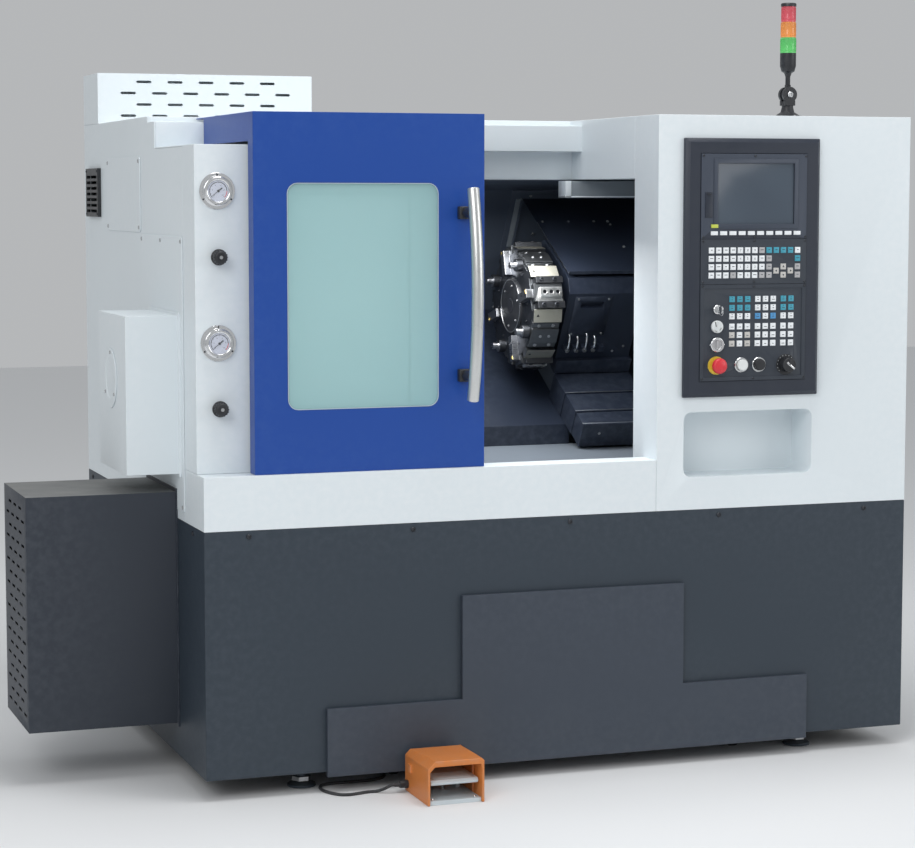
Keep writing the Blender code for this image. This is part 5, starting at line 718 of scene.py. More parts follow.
def screw(piece, place, direction, radius, material=0, base=HERE):
    """A pan head with a round socket, a few dozen faces."""
    part = bmesh.new()
    bmesh.ops.create_circle(part, cap_ends=True, segments=SCREW_SIDES, radius=radius)
    raised = bmesh.ops.extrude_face_region(part, geom=part.faces[:], use_keep_orig=True)
    crown = [item for item in raised["geom"] if isinstance(item, bmesh.types.BMFace)]
    bmesh.ops.translate(part, verts=crown[0].verts[:], vec=(0, 0, 0.3 * radius))
    for share, rise in CROWN_STEPS:
        bmesh.ops.inset_individual(part, faces=crown, thickness=share * radius, depth=rise * radius)
    pour(piece, part, base @ pointing(place, direction), material)


def screws(piece, places, direction, radius, material=0):
    for place in places:
        screw(piece, place, direction, radius, material)


print("a screw head has", SCREW_SIDES * 6 + 2, "faces")

# %% [markdown]
# ## Soft edges for the sheet metal and the castings
# Folded sheet has a small radius at every bend, and castings have a larger one. A razor edge catches
# no light and gives a computer model away at once. Each solid is copied, its edges are rounded by
# the width that its kind of part would have, and the copy stands for the solid.

# %% Soft edges
SOFT_WIDTHS = {
    "front_apron": 0.0012, "headstock_cover": 0.0012, "side_walls": 0.0012, "roof_header": 0.0012,
    "control_cabinet": 0.0012, "door": 0.0012, "base": 0.0025, "coolant_tank": 0.001,
    "control_frame": 0.0012, "side_panel_upper": 0.0008, "side_panel_lower": 0.0008,
    "motor_cover": 0.0006, "roof_vent": 0.0006, "spindle_cover": 0.001, "fan_grille": 0.0008,
    "bar_hole_disc": 0.0008, "slant_bed": 0.004, "headstock": 0.004, "carriage": 0.003,
    "spindle_motor": 0.0015, "carriage_cover": 0.0005, "cover_plate_1": 0.0005, "cover_plate_2": 0.0005,
    "turret_slide": 0.0012, "interior_lining": 0.0006, "turret_shroud": 0.0006, "chip_pan": 0.0006,
    "pedal_hood": 0.0018, "pedal_base": 0.0008, "pedal_treadle": 0.0012, "chuck_body": 0.001,
    "chuck_jaw_1": 0.0008, "chuck_jaw_2": 0.0008, "chuck_jaw_3": 0.0008, "spindle": 0.0008,
}
soft = {name: soften(name, width) for name, width in SOFT_WIDTHS.items()}
print(len(soft), "solids have soft edges")

# %% [markdown]
# ## The control panel
# Three units sit in one bevelled frame: the screen, the keyboard and the operator's field. Their
# softened copies already have the true key caps, so the caps only need their colours, and a face's
# place says which key it belongs to. One letter stands for one colour, row by row. The keys' printed
# legends become small plain bars and arrows, with digits on the number keys.

# %% Key colours
KEY_COLOURS = (("W", "white", (236, 240, 243)), ("G", "grey", (176, 176, 178)),
               ("B", "beige", (196, 194, 190)), ("T", "teal", (66, 156, 178)), ("K", "blue", (78, 146, 200)))
KEYS = {letter: plastic(name + " key", colour, 0.42, 0.08, 0.01) for letter, name, colour in KEY_COLOURS}
KEY_PRINT = plastic("key print", (58, 64, 70), 0.5, 0.05, 0.0)
CARD_YELLOW = plastic("card key", (196, 206, 84), 0.4, 0.05, 0.01)
UNIT_FACE, FIELD_FACE, KEY_RAISE = -0.022, -0.02, 0.002
KEYBOARD_LEFT, KEYBOARD_TOP, KEYBOARD_STEP, KEYBOARD_DROP = 1.2762, 1.2801, 0.01968, 0.02043
FIELD_LEFT, FIELD_TOP, FIELD_STEP, FIELD_DROP = 1.3345, 1.1595, 0.02125, 0.0211
FIELD_GAP, FIELD_ROW_GAP, GROUP = 0.0067, 0.0042, 3
HALF_KEY = 0.0075
KEYBOARD_ROWS = ["WWWWWWWGTTTTW", "WWWWWWWWG   T", "WWWWWWWWG B G", "WWWGWWWGG B G"]
FIELD_ROWS = ["TTTWWWTT", "TTTWWWTT", "WWWKWKWW", "WWWWWWWW", "BWBWWWWW", "BWBWWWWW"]


def keyboard_key(column, row, letter):
    return KEYBOARD_LEFT + column * KEYBOARD_STEP, KEYBOARD_TOP - row * KEYBOARD_DROP, letter


def field_key(column, row, letter):
    """The field's keys stand in groups of three, with a gap after each group."""
    return (FIELD_LEFT + column * FIELD_STEP + column // GROUP * FIELD_GAP,
            FIELD_TOP - row * FIELD_DROP - row // GROUP * FIELD_ROW_GAP, letter)


def key_places(rows, maker):
    return {(column, row): maker(column, row, letter) for row, letters in enumerate(rows)
            for column, letter in enumerate(letters) if letter != " "}


def paint_keys(made, places, face):
    """Colour the faces that stand in front of a unit's face, each by the key it belongs to."""
    count = 0
    for letter, material in KEYS.items():
        spots = [(x, z) for x, z, key_letter in places.values() if key_letter == letter]
        count += paint(made, material, lambda x, y, z: y < face - 0.0002 and any(
            abs(x - key_x) < HALF_KEY and abs(z - key_z) < HALF_KEY for key_x, key_z in spots))
    return count


keyboard_places = key_places(KEYBOARD_ROWS, keyboard_key)
for column in (9, 11):
    keyboard_places[column, 2.5] = keyboard_key(column, 2.5, "B")
field_places = key_places(FIELD_ROWS, field_key)
keyboard = soften("keyboard_unit", 0.0006)
operator_field = soften("operator_unit", 0.0006)
print(paint_keys(keyboard, keyboard_places, UNIT_FACE), "faces on the keyboard,",
      paint_keys(operator_field, field_places, FIELD_FACE), "on the operator's field")

# %% [markdown]
# The legends are prints, so they stand only a hair above the caps. A bar's length follows from its
# key's place, which keeps the rows from looking stamped.

# %% Legends
PRINT_HIGH = 0.0001
NUMBER_KEYS = {(4, 0): "7", (5, 0): "8", (6, 0): "9", (4, 1): "4", (5, 1): "5", (6, 1): "6",
               (4, 2): "1", (5, 2): "2", (6, 2): "3", (5, 3): "0"}
ARROW_KEYS = {(10, 2): 90, (9, 2.5): 180, (11, 2.5): 0, (10, 3): 270}


def print_bar(piece, x, z, width, height, face):
    block(piece, (x - width / 2, face - PRINT_HIGH, z - height / 2), (x + width / 2, face, z + height / 2))


legends = bmesh.new()
cap_face = UNIT_FACE - KEY_RAISE
for (column, row), (x, z, _) in keyboard_places.items():
    spot = aim((x, cap_face - PRINT_HIGH, z), FRONT)
    if (column, row) in NUMBER_KEYS:
        digits(legends, NUMBER_KEYS[column, row], 0.0085, spot)
    elif (column, row) in ARROW_KEYS:
        wedge(legends, spot @ turn_about_z(ARROW_KEYS[column, row] - 90), 0, 0.0034)
    else:
        print_bar(legends, x, z + 0.001, 0.005 + (column * 5 + int(row) * 3) % 4 * 0.0012, 0.0016, cap_face)
cap_face = FIELD_FACE - KEY_RAISE
for (column, row), (x, z, _) in field_places.items():
    print_bar(legends, x, z - 0.0012, 0.004 + (column * 3 + row * 5) % 4 * 0.0013, 0.0015, cap_face)
    if row < GROUP:
        print_bar(legends, x, z + 0.0042, 0.0028, 0.0014, cap_face)
finish_piece("key_legends", legends, "control_frame", KEY_PRINT)
print(len(keyboard_places) + len(field_places), "keys have legends")

# %% [markdown]
# ## The screen
# The screen is a dark, slightly glossy sheet set back in its raised bezel. It is switched off, so
# all it shows is a soft reflection, and its grey colour is that reflection painted in: a painted
# reflection. The soft keys below it are white, and a yellow green key sits over the first of them.
# Black screws hold the three units.

# %% Screen
# The screen's grey and its soft drift are a painted reflection.
SCREEN_REFLECTION_GREY = glassy("screen with painted reflection", (70, 80, 92), (78, 89, 101), 4.0, 0.16)
BEZEL_GREY = plastic("bezel", (58, 66, 80), 0.45, 0.12, 0.02)
BEZEL = (1.2813, 1.5119, 1.3337, 1.5047)
SOFT_KEYS = [(1.2834 + i * 0.0252, 1.3225) for i in range(10)]
PANEL_SCREWS_X = (1.2535, 1.3936, 1.5331)
PANEL_SCREWS_Z = (1.5121, 1.3129, 1.3029, 1.202, 1.1912, 0.963)
HINGE_Z, HINGE_OUT = 1.418, UNIT_FACE - KEY_RAISE - 0.0006


def in_bezel(x, z, margin):
    left, right, low, high = BEZEL
    return left + margin < x < right - margin and low + margin < z < high - margin


display = soften("display_unit", 0.0006)
paint(display, BEZEL_GREY, lambda x, y, z: in_bezel(x, z, -0.001) and y < UNIT_FACE + 0.0005)
paint(display, SCREEN_REFLECTION_GREY, lambda x, y, z: in_bezel(x, z, 0.012) and UNIT_FACE + 0.002 < y < 0)
print(paint(display, KEYS["W"], lambda x, y, z: y < UNIT_FACE - 0.0002 and any(
    abs(x - key_x) < 0.0095 and abs(z - key_z) < 0.005 for key_x, key_z in SOFT_KEYS)), "soft key faces")

panel_trim = bmesh.new()
block(panel_trim, (1.2745, UNIT_FACE - 0.0034, 1.3354), (1.293, UNIT_FACE, 1.344), 1, 0.0006)
screws(panel_trim, [(x, UNIT_FACE, z) for x in PANEL_SCREWS_X for z in PANEL_SCREWS_Z], FRONT, 0.003)
bar(panel_trim, 0.0016, (1.263, HINGE_OUT, HINGE_Z), (1.273, HINGE_OUT, HINGE_Z), sides=10)
finish_piece("panel_screws", panel_trim, "control_frame", DARK_SCREW, CARD_YELLOW)

# %% [markdown]
# ## Hand controls
# The stop button sits on a yellow ring, the white and the black button stand in metal collars, and
# the speed dial has a ring of dots. The key switch holds its key, with a loose ring hanging on it.

# %% Hand controls
ESTOP, OVERRIDE = (1.2925, 0.9965), (1.484, 0.995)
SWITCH_X, BUTTON_Z = 1.293, 0.9965
KEY_FRONT = FIELD_FACE - 0.03
KNOB_CROWN = FIELD_FACE - 0.0017 - 0.022
DIAL_DOTS, DIAL_SWEEP = 12, 260


def round_spot(centre, radius):
    return lambda x, y, z: math.dist((x, z), centre) < radius and y < FIELD_FACE - 0.0004


paint(operator_field, YELLOW_PLASTIC, round_spot(ESTOP, 0.0232))
paint(operator_field, BLACK_PLASTIC, round_spot(OVERRIDE, 0.0268))
for name, width in (("estop_button", 0.0012), ("white_button", 0.0012), ("black_button", 0.0012),
                    ("override_knob", 0.0008), ("key_switch", 0.0005), ("mode_selector", 0.0006)):
    soften(name, width, 3)
paint(soften("ring_switch", 0.0006, 3), KEYS["G"],
      lambda x, y, z: math.dist((x, z), (SWITCH_X, 1.048)) < 0.01)

collars = bmesh.new()
for x in (1.3615, 1.4096):
    turned(collars, [(0.0147, 0), (0.0186, 0), (0.0186, 0.0022), (0.0176, 0.0032), (0.0147, 0.0032),
                     (0.0147, 0)], aim((x, FIELD_FACE, BUTTON_Z), FRONT), 0, 40)
for x in (SWITCH_X - 0.0155, SWITCH_X + 0.0155):
    block(collars, (x - 0.005, FIELD_FACE - 0.005, 1.0465), (x + 0.005, FIELD_FACE, 1.0495), 0, 0.0008)
for step in range(DIAL_DOTS + 1):
    angle = math.radians(-DIAL_SWEEP / 2 + step * DIAL_SWEEP / DIAL_DOTS)
    spot = Vector((OVERRIDE[0] + 0.0231 * math.sin(angle), FIELD_FACE - 0.0014,
                   OVERRIDE[1] + 0.0231 * math.cos(angle)))
    bar(collars, 0.00085, spot, spot + Vector((0, -PRINT_HIGH, 0)), 1, 8)
finish_piece("button_collars", collars, "operator_unit", CHROME, KEYS["W"], slot="chrome")

key_ring = bmesh.new()
turned(key_ring, [(0.0074 + 0.0007 * math.cos(math.radians(turn)), 0.0007 * math.sin(math.radians(turn)))
                  for turn in range(0, 361, 45)], aim((SWITCH_X, KEY_FRONT + 0.004, 1.1285), (1, 0.25, 0)))
block(key_ring, (SWITCH_X - 0.0014, KEY_FRONT - 0.004, 1.129),
      (SWITCH_X + 0.0014, KEY_FRONT + 0.01, 1.141), 0, 0.0006)
finish_piece("switch_key", key_ring, "key_switch", CHROME, slot="chrome")

pointer = bmesh.new()
block(pointer, (-0.01, -0.0024, 0.0), (0.0165, 0.0024, 0.0016), 0, 0.0008,
      aim((OVERRIDE[0], KNOB_CROWN, OVERRIDE[1]), FRONT) @ turn_about_z(-38))
finish_piece("override_mark", pointer, "override_knob", CHROME, slot="chrome")

selector_mark = bmesh.new()
block(selector_mark, (-0.0012, 0.0, 0.0), (0.0012, 0.0125, 0.0002), 0, 0,
      aim((SWITCH_X - 0.0045, FIELD_FACE - 0.0083, 1.0925), FRONT) @ turn_about_z(12))
finish_piece("selector_mark", selector_mark, "mode_selector", BLACK_PLASTIC, slot="black_plastic")
print("hand controls done")

# %% [markdown]
# ## Door trim, handle and window
# The handle is a thick bar bent to a shallow bow, brushed along its length, with flat ends. Two black
# blocks carry it. The bow follows a parabola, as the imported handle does, but with many more sides.

# %% Handle
HANDLE_X, HANDLE_LOW, HANDLE_TOP, HANDLE_RADIUS = 0.645, 0.93, 1.431, 0.0145
BOW_FOOT, BOW_RISE, BOW_HALF_STEPS = 0.01 - 0.055, 0.033, 12
STAND_OFFS = (0.987, 1.374)
DOOR_FACE = 0.0097


def bow(share):
    """The bow's point at a share from -1 at the lower end to 1 at the upper end."""
    return (HANDLE_X, BOW_FOOT - BOW_RISE * (1 - share * share),
            (HANDLE_LOW + HANDLE_TOP) / 2 + share * (HANDLE_TOP - HANDLE_LOW) / 2)


handle = bmesh.new()
bent(handle, HANDLE_RADIUS, [bow(step / BOW_HALF_STEPS - 1) for step in range(2 * BOW_HALF_STEPS + 1)],
     rounds=7)
for z in STAND_OFFS:
    bar(handle, 0.0118, (0.641, -0.052, z), (0.641, DOOR_FACE, z), 1, 28)
    block(handle, (0.6245, -0.01, z - 0.015), (0.6575, DOOR_FACE, z + 0.015), 1, 0.002)
soft_edges(finish_piece("bow_handle", handle, "door_handle", BRUSHED, BLACK_PLASTIC, replaced=True), 0.0012)
print("handle is", round(HANDLE_TOP - HANDLE_LOW, 3), "m high")

# %% [markdown]
# The window is glued in from behind. The cut edge of the opening catches light along its rim, and a
# thin pale bead there is a painted highlight. Behind the pane stands the cover of the headstock, whose
# plates meet in two seams; thin dark strips on them are painted shadow in the seam gaps, with a screw
# beside their corner.

# %% Window rim highlight and seam shadows
WINDOW = (0.206, 0.578, 0.9145, 1.444)
WINDOW_CORNER, BEAD, BEAD_FRONT, BEAD_BACK = 0.025, 0.0016, 0.0096, 0.0132
PLATE_FRONT, SEAM_HIGH, SEAM_LEVEL = 0.0667, 0.0002, 1.4166
# Dark strips where the gaps between the plates lie in shade: painted shadow.
SEAM_SHADOW = plastic("seam shadow", (38, 44, 52), 0.8, 0.05, 0.0)
# The pale rim is a painted highlight on the opening's cut edge.
RIM_HIGHLIGHT_GREY = plastic("window rim highlight", (176, 190, 200), 0.5, 0.05, 0.01)


def round_frame(piece, sides, corner, width, front, back):
    """A frame with round corners between a front and a back, as wide as one bead."""
    left, right, low, high = sides
    part = bmesh.new()
    bmesh.ops.create_cube(part, size=1, matrix=Matrix.Translation(((left + right) / 2, (front + back) / 2,
                                                                   (low + high) / 2))
                          @ Matrix.Diagonal((right - left, back - front, high - low, 1)))
    posts = [edge for edge in part.edges if abs((edge.verts[0].co - edge.verts[1].co).y) > (back - front) / 2]
    bmesh.ops.bevel(part, geom=posts, offset=corner, offset_type="OFFSET", affect="EDGES", segments=6,
                    profile=0.5, material=-1)
    flats = [face for face in part.faces if abs(face.normal.y) > 0.9]
    bmesh.ops.inset_individual(part, faces=flats, thickness=width, depth=0)
    inner = [face for face in part.faces if abs(face.normal.y) > 0.9 and len(face.verts) > 4]
    bmesh.ops.bridge_loops(part, edges=[edge for face in inner for edge in face.edges])
    bmesh.ops.delete(part, geom=inner, context="FACES_ONLY")
    pour(piece, part)


# A pale frame on the opening's cut edge: painted highlight.
rim_highlight = bmesh.new()
round_frame(rim_highlight, WINDOW, WINDOW_CORNER, BEAD, BEAD_FRONT, BEAD_BACK)
finish_piece("window_rim_highlight", rim_highlight, "door", RIM_HIGHLIGHT_GREY)
# Thin dark strips on the cover's seams: painted shadow in the gaps.
seam_shadows = bmesh.new()
for low_x, high_x, low_z, high_z in ((0.5226, 0.5254, 0.9, SEAM_LEVEL), (0.19, 0.599, SEAM_LEVEL, 1.4194)):
    block(seam_shadows, (low_x, PLATE_FRONT - SEAM_HIGH, low_z), (high_x, PLATE_FRONT, high_z))
screw(seam_shadows, (0.5145, PLATE_FRONT, 1.4049), FRONT, 0.0042, 1)
finish_piece("cover_seam_shadows", seam_shadows, "headstock_cover", SEAM_SHADOW, SCREW_STEEL)
print("door trim done")

# %% [markdown]
# ## Gauges and regulators
# Each gauge is a turned chrome case with a broad bezel and a pale dial. The scale is a dark arc that
# ends in a red stretch, with plain digits. The needle is at rest at the low end, and its wide tail
# points the other way. A clear pane closes the case. The black knob below is fluted for the fingers.

# %% Gauges
GAUGE_X, COLUMN_FACE, KNOB_BELOW = 0.054, 0.0667, 0.153
FLANGE, CASE, DIAL_SINK, CASE_HIGH = 0.0425, 0.033, 0.004, 0.017
DIAL, SCALE, SCALE_WIDTH, SCALE_START, SCALE_STEP = 0.024, 0.0206, 0.0018, 225, 27
DIAL_FLOOR = CASE_HIGH - DIAL_SINK
KNOB_TOP, KNOB_RIBS = 0.038, 16
DIAL_PAPER = plastic("dial paper", (206, 210, 224), 0.5, 0.02, 0.01)
# This black is print on the dials; on the turret and the pedal the same black is painted shade.
BLACK_PRINT_AND_SHADE = plastic("black print and painted shade", (34, 36, 42), 0.5, 0.02, 0.0)
CLEAR_PANE = glassy("clear pane", (228, 234, 238), (236, 240, 244), 30.0, 0.05, 0.1)
GAUGE_CASE = [
    (0, 0), (FLANGE - 0.0006, 0), (FLANGE, 0.0006), (FLANGE, 0.0024), (FLANGE - 0.0006, 0.003),
    (0.0352, 0.003), (0.0345, 0.0042), (0.0322, 0.0048), (0.0322, 0.0085), (CASE, 0.0092),
    (CASE, 0.0158), (CASE - 0.0012, CASE_HIGH), (0.0298, CASE_HIGH), (0.0292, 0.0162),
    (0.028, 0.0162), (0.0274, CASE_HIGH - 0.0002), (0.0258, CASE_HIGH - 0.0006), (0.0246, 0.015),
    (0.0242, DIAL_FLOOR), (0, DIAL_FLOOR)]
KNOB_BODY = [
    (0, 0), (0.012, 0), (0.012, 0.012), (0.0184, 0.012), (0.019, 0.0127), (0.019, 0.0162),
    (0.0184, 0.017), (0.016, 0.0176), (0.016, 0.0305), (0.0152, 0.0345), (0.0128, 0.0375),
    (0.0112, KNOB_TOP), (0.007, KNOB_TOP), (0.0062, 0.037), (0, 0.037)]


def lifted(place, height):
    return place @ Matrix.Translation((0, 0, height))


for name, z in (("upper", 1.425), ("lower", 1.0715)):
    front = aim((GAUGE_X, COLUMN_FACE, z), FRONT)
    dial = lifted(front, DIAL_FLOOR)
    paper = lifted(dial, 0.0004)
    gauge = bmesh.new()
    turned(gauge, GAUGE_CASE, front, 0, 56)
    turned(gauge, [(0, 0), (DIAL, 0), (DIAL, 0.0003), (0, 0.0003)], dial, 1, 48)
    flat_arc(gauge, SCALE, SCALE_WIDTH, 0, SCALE_START, paper, 2)
    flat_arc(gauge, SCALE, SCALE_WIDTH, -45, 0, paper, 3, 8)
    for step in range(11):
        angle = SCALE_START - SCALE_STEP * step
        block(gauge, (0.0174, -0.0003, 0), (0.0198, 0.0003, 0.0001), 2, 0, paper @ turn_about_z(angle))
        if step % 2 == 0:
            digits(gauge, str(step), 0.0046, paper @ Matrix.Translation(around(0.0138, angle, 0.0001)), 2)
    needle = lifted(paper @ turn_about_z(218), 0.0008)
    block(gauge, (-0.0115, -0.0016, 0), (-0.002, 0.0016, 0.0004), 2, 0, needle)
    block(gauge, (-0.002, -0.0006, 0), (0.018, 0.0006, 0.0004), 2, 0, needle)
    turned(gauge, [(0, 0), (0.0032, 0), (0.003, 0.0018), (0, 0.002)], paper, 2, 20)
    for angle in (90, 210, 330):
        screw(gauge, around(0.0384, angle, 0.003), UP, 0.0022, 4, front)
    turned(gauge, [(0, 0), (0.0245, 0), (0.0245, 0.0006), (0, 0.0006)], lifted(dial, 0.0022), 5, 40)
    finish_piece("dial_gauge_" + name, gauge, "gauge_" + name, CHROME, DIAL_PAPER, BLACK_PRINT_AND_SHADE, RED_PLASTIC,
                 DARK_SCREW, CLEAR_PANE, replaced=True)

    knob = bmesh.new()
    spot = aim((GAUGE_X, COLUMN_FACE, z - KNOB_BELOW), FRONT)
    turned(knob, KNOB_BODY, spot, 0, 40)
    for rib in range(KNOB_RIBS):
        block(knob, (0.0154, -0.0013, 0.018), (0.017, 0.0013, 0.032), 0, 0.0005,
              spot @ turn_about_z(360 / KNOB_RIBS * rib))
    turned(knob, [(0, 0.0368), (0.0046, 0.0368), (0.004, 0.0379), (0, KNOB_TOP)], spot, 1, 24)
    finish_piece("fluted_knob_" + name, knob, "regulator_knob_" + name, BLACK_PLASTIC, SCREW_STEEL,
                 replaced=True)
print("two gauges and two knobs")

# %% [markdown]
# ## Screws of the casing
# Sheet metal is held by rows of button head screws. Each one is a few dozen faces, so they can all be
# real shapes. They are listed by the face they sit on. A narrow strip covers the joint beside the
# spindle's housing.

# %% Screws of the casing
SPINDLE_Y, SPINDLE_Z = 0.65 - 0.295 * math.cos(math.radians(30)), 0.9725
SHEET_PROUD, GRILLE_PROUD, STRIP_PROUD, DISC_SCREWS = -0.003, -0.01, -0.005, 0.064
disc_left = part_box("bar_hole_disc")[0].x - CORNER.x
casing_screws = bmesh.new()
screws(casing_screws, [(0.1065, 0, 0.623), (0.5097, 0, 0.622), (0.9137, 0, 0.622), (1.3139, 0, 0.6215),
                       (1.722, 0, 0.621)], FRONT, 0.006, 1)
screws(casing_screws, [(0, y, 0.621) for y in (0.1116, 0.465, 0.82, 1.175, 1.34)], LEFT, 0.006, 1)
screws(casing_screws, [(SHEET_PROUD, y, z) for y in (0.664, 1.058) for z in (1.334, 1.502)]
       + [(SHEET_PROUD, y, z) for z in (1.306, 0.672) for y in (0.199, 0.416, 0.633)], LEFT, 0.005)
screws(casing_screws, [(GRILLE_PROUD, y, z) for y in (1.177, 1.328) for z in (1.365, 1.482)], LEFT, 0.0035, 1)
screws(casing_screws, [(disc_left, SPINDLE_Y + DISC_SCREWS * math.cos(math.radians(turn)),
                        SPINDLE_Z + DISC_SCREWS * math.sin(math.radians(turn))) for turn in (100, 215, 325)],
       LEFT, 0.0044)
block(casing_screws, (STRIP_PROUD, 0.212, 0.751), (-0.0003, 0.2195, 1.13), 2, 0.001)
screws(casing_screws, [(STRIP_PROUD, 0.2155, z) for z in (0.79, 0.96, 1.11)], LEFT, 0.0034, 1)
finish_piece("casing_screws", casing_screws, "front_apron", SCREW_STEEL, DARK_SCREW, WHITE)
print("casing screws set")

# %% [markdown]
# ## The tool turret
# The disc has eight stations. Turning stations clamp a square shank between two bars under a bored
# plate, boring stations hold a round bar in a sleeve on a saddle. The softened copy has all these
# shapes, and a face's radius, its place across the station and its depth say which part it is, so
# each part gets its own metal. The faces inside the plates' bores are painted black: painted shade.

# %% Turret metals
LAND_STEEL = steel("ground land", (0.6, 0.585, 0.5), (30.0, 900.0, 900.0), 0.42, 0.12, 0.12)
DISC_STEEL = steel("turned disc face", (0.11, 0.12, 0.14), (700.0, 60.0, 60.0), 0.4, 0.12, 0.2)
CLAMP_STEEL = steel("blackened clamp", (0.1, 0.105, 0.115), (60.0, 300.0, 300.0), 0.42, 0.1, 0.15)
PLATE_STEEL = steel("ground plate", (0.8, 0.81, 0.8), (900.0, 30.0, 900.0), 0.36, 0.1, 0.05)
TOOL_STEEL = steel("tool shank", (0.48, 0.49, 0.51), (30.0, 30.0, 600.0), 0.28, 0.1, 0.1)
CARBIDE = steel("coated insert", (0.62, 0.46, 0.16), EVEN, 0.3, 0.05, 0.1)
TURRET_Y, TURRET_Z, TURRET_LEFT = 0.65, 1.12, 1.01
STATIONS = 8
STATION_TURNS = [math.radians(45 * i - 30) for i in range(STATIONS)]
LAND_TURNS = [turn + math.radians(22.5) for turn in STATION_TURNS]
TOOLS_LEFT, SLEEVE_RADIUS, SLEEVE = 1.0097, 0.128, 0.01


def on_turret(test):
    """A test on the radius, on whether it is a turning station, and on the place across it."""
    def ask(x, y, z):
        forward, up = TURRET_Y - y, z - TURRET_Z
        radius, turn = math.hypot(forward, up), math.atan2(up, forward)
        offs = [math.remainder(turn - station, math.tau) for station in STATION_TURNS]
        nearest = min(range(STATIONS), key=lambda i: abs(offs[i]))
        return test(x, radius, nearest % 2 == 1, abs(radius * math.sin(offs[nearest])))
    return ask


turret = soften("turret_disc", 0.0009)
for material, test in (
        (DISC_STEEL, lambda x, r, turning, across: x < 1.0108 and r < 0.157),
        (LAND_STEEL, lambda x, r, turning, across: 0.1572 < r < 0.16 and across > 0.044),
        (CLAMP_STEEL, lambda x, r, turning, across: turning and r > 0.14 and 0.0245 < across < 0.0435),
        (PLATE_STEEL, lambda x, r, turning, across: turning and r > 0.1611 and across < 0.0135),
        (TOOL_STEEL, lambda x, r, turning, across: turning and x < TOOLS_LEFT and 0.078 < r
         and across < 0.013),
        (CLAMP_STEEL, lambda x, r, turning, across: not turning and x < TOOLS_LEFT and r > 0.105
         and math.hypot(across, r - SLEEVE_RADIUS) > SLEEVE),
        (TOOL_STEEL, lambda x, r, turning, across: not turning and x < TOOLS_LEFT
         and math.hypot(across, r - SLEEVE_RADIUS) < SLEEVE + 0.0001),
        # The inside of each plate's bores is painted black: painted shade in the holes.
        (BLACK_PRINT_AND_SHADE, lambda x, r, turning, across: turning and 0.162 < r < 0.1668 and across < 0.0062
         and x > 1.03),
        (BLACK_PLASTIC, lambda x, r, turning, across: x < 1.0085 and r < 0.0768)):
    print(paint(turret, material, on_turret(test)), "faces of", material.name)

# %% [markdown]
# Screws, marks and inserts are added round the disc: two socket screws on every clamp bar, two on
# every saddle, a flat black triangle on every land, which is painted shade standing for its notch, and
# a small coated insert at each shank's end. A ring and six screws hold the cap in the middle.

# %% Turret fittings
INSERT_LEFT, CAP_LEFT, CAP_SCREWS = 0.993, 1.003, 6


def on_station(turn, radius, across=0.0, x=0.0):
    """A point on the turret at a radius and a place across a station."""
    return Vector((x, TURRET_Y - math.cos(turn) * radius + math.sin(turn) * across,
                   TURRET_Z + math.sin(turn) * radius + math.cos(turn) * across))


def outward(turn):
    return Vector((0, -math.cos(turn), math.sin(turn)))


fittings = bmesh.new()
for i, turn in enumerate(STATION_TURNS):
    if i % 2:
        screws(fittings, [on_station(turn, 0.166, across, x) for across in (-0.034, 0.034)
                          for x in (1.034, 1.07)], outward(turn), 0.0058, 1)
        wedge(fittings, aim(on_station(turn, 0.1445, 0.0045, INSERT_LEFT), LEFT), 2, 0.0062, 0.0056, 0.003)
        screw(fittings, on_station(turn, 0.14, 0.0, INSERT_LEFT), LEFT, 0.0026, 1)
    else:
        screws(fittings, [on_station(turn, 0.146, across, x) for across in (-0.03, 0.03)
                          for x in (1.03, 1.07)], outward(turn), 0.005)
        screws(fittings, [on_station(turn, 0.152, 0.0, x) for x in (1.038, 1.062)], outward(turn), 0.0042)
    screws(fittings, [on_station(turn, 0.108, across, TURRET_LEFT) for across in (-0.02, 0.02)], LEFT,
           0.0036, 1)
# A flat black triangle on each land stands for its notch: painted shade.
for turn in LAND_TURNS:
    wedge(fittings, aim(on_station(turn, 0.1581, 0.0, 1.022), outward(turn)), 3, 0.0052)
cap_spot = aim((CAP_LEFT, TURRET_Y, TURRET_Z), LEFT)
turned(fittings, [(0.069, 0), (0.0722, 0), (0.0718, 0.0007), (0.0694, 0.0007), (0.069, 0)], cap_spot, 0, 64)
turned(fittings, [(0, 0), (0.02, 0), (0.0194, 0.0006), (0, 0.0006)], cap_spot, 3, 40)
screws(fittings, [on_station(math.tau * step / CAP_SCREWS + 0.3, 0.055, 0.0, CAP_LEFT)
                  for step in range(CAP_SCREWS)], LEFT, 0.0034)
finish_piece("turret_fittings", fittings, "turret_disc", SCREW_STEEL, DARK_SCREW, CARBIDE, BLACK_PRINT_AND_SHADE)
print("turret has", STATIONS, "stations")

# %% [markdown]
# ## The chuck
# The chuck's face carries two fine turned rings, and six socket screws stand between the jaws.

# %% Chuck details
CHUCK_FACE = 0.6793
chuck_trim = bmesh.new()
for radius in (0.03, 0.0805):
    turned(chuck_trim, [(radius, 0), (radius + 0.001, 0), (radius + 0.001, 0.0003), (radius, 0.0003),
                        (radius, 0)], aim((CHUCK_FACE, SPINDLE_Y, SPINDLE_Z), RIGHT), 0, 64)
for step in range(6):
    angle = math.radians(60 * step + 30)
    spot = (CHUCK_FACE, SPINDLE_Y + 0.07 * math.sin(angle), SPINDLE_Z + 0.07 * math.cos(angle))
    screw(chuck_trim, spot, RIGHT, 0.0045, 1)
finish_piece("chuck_trim", chuck_trim, "chuck_body", SCREW_STEEL, DARK_SCREW)
print("chuck trimmed")

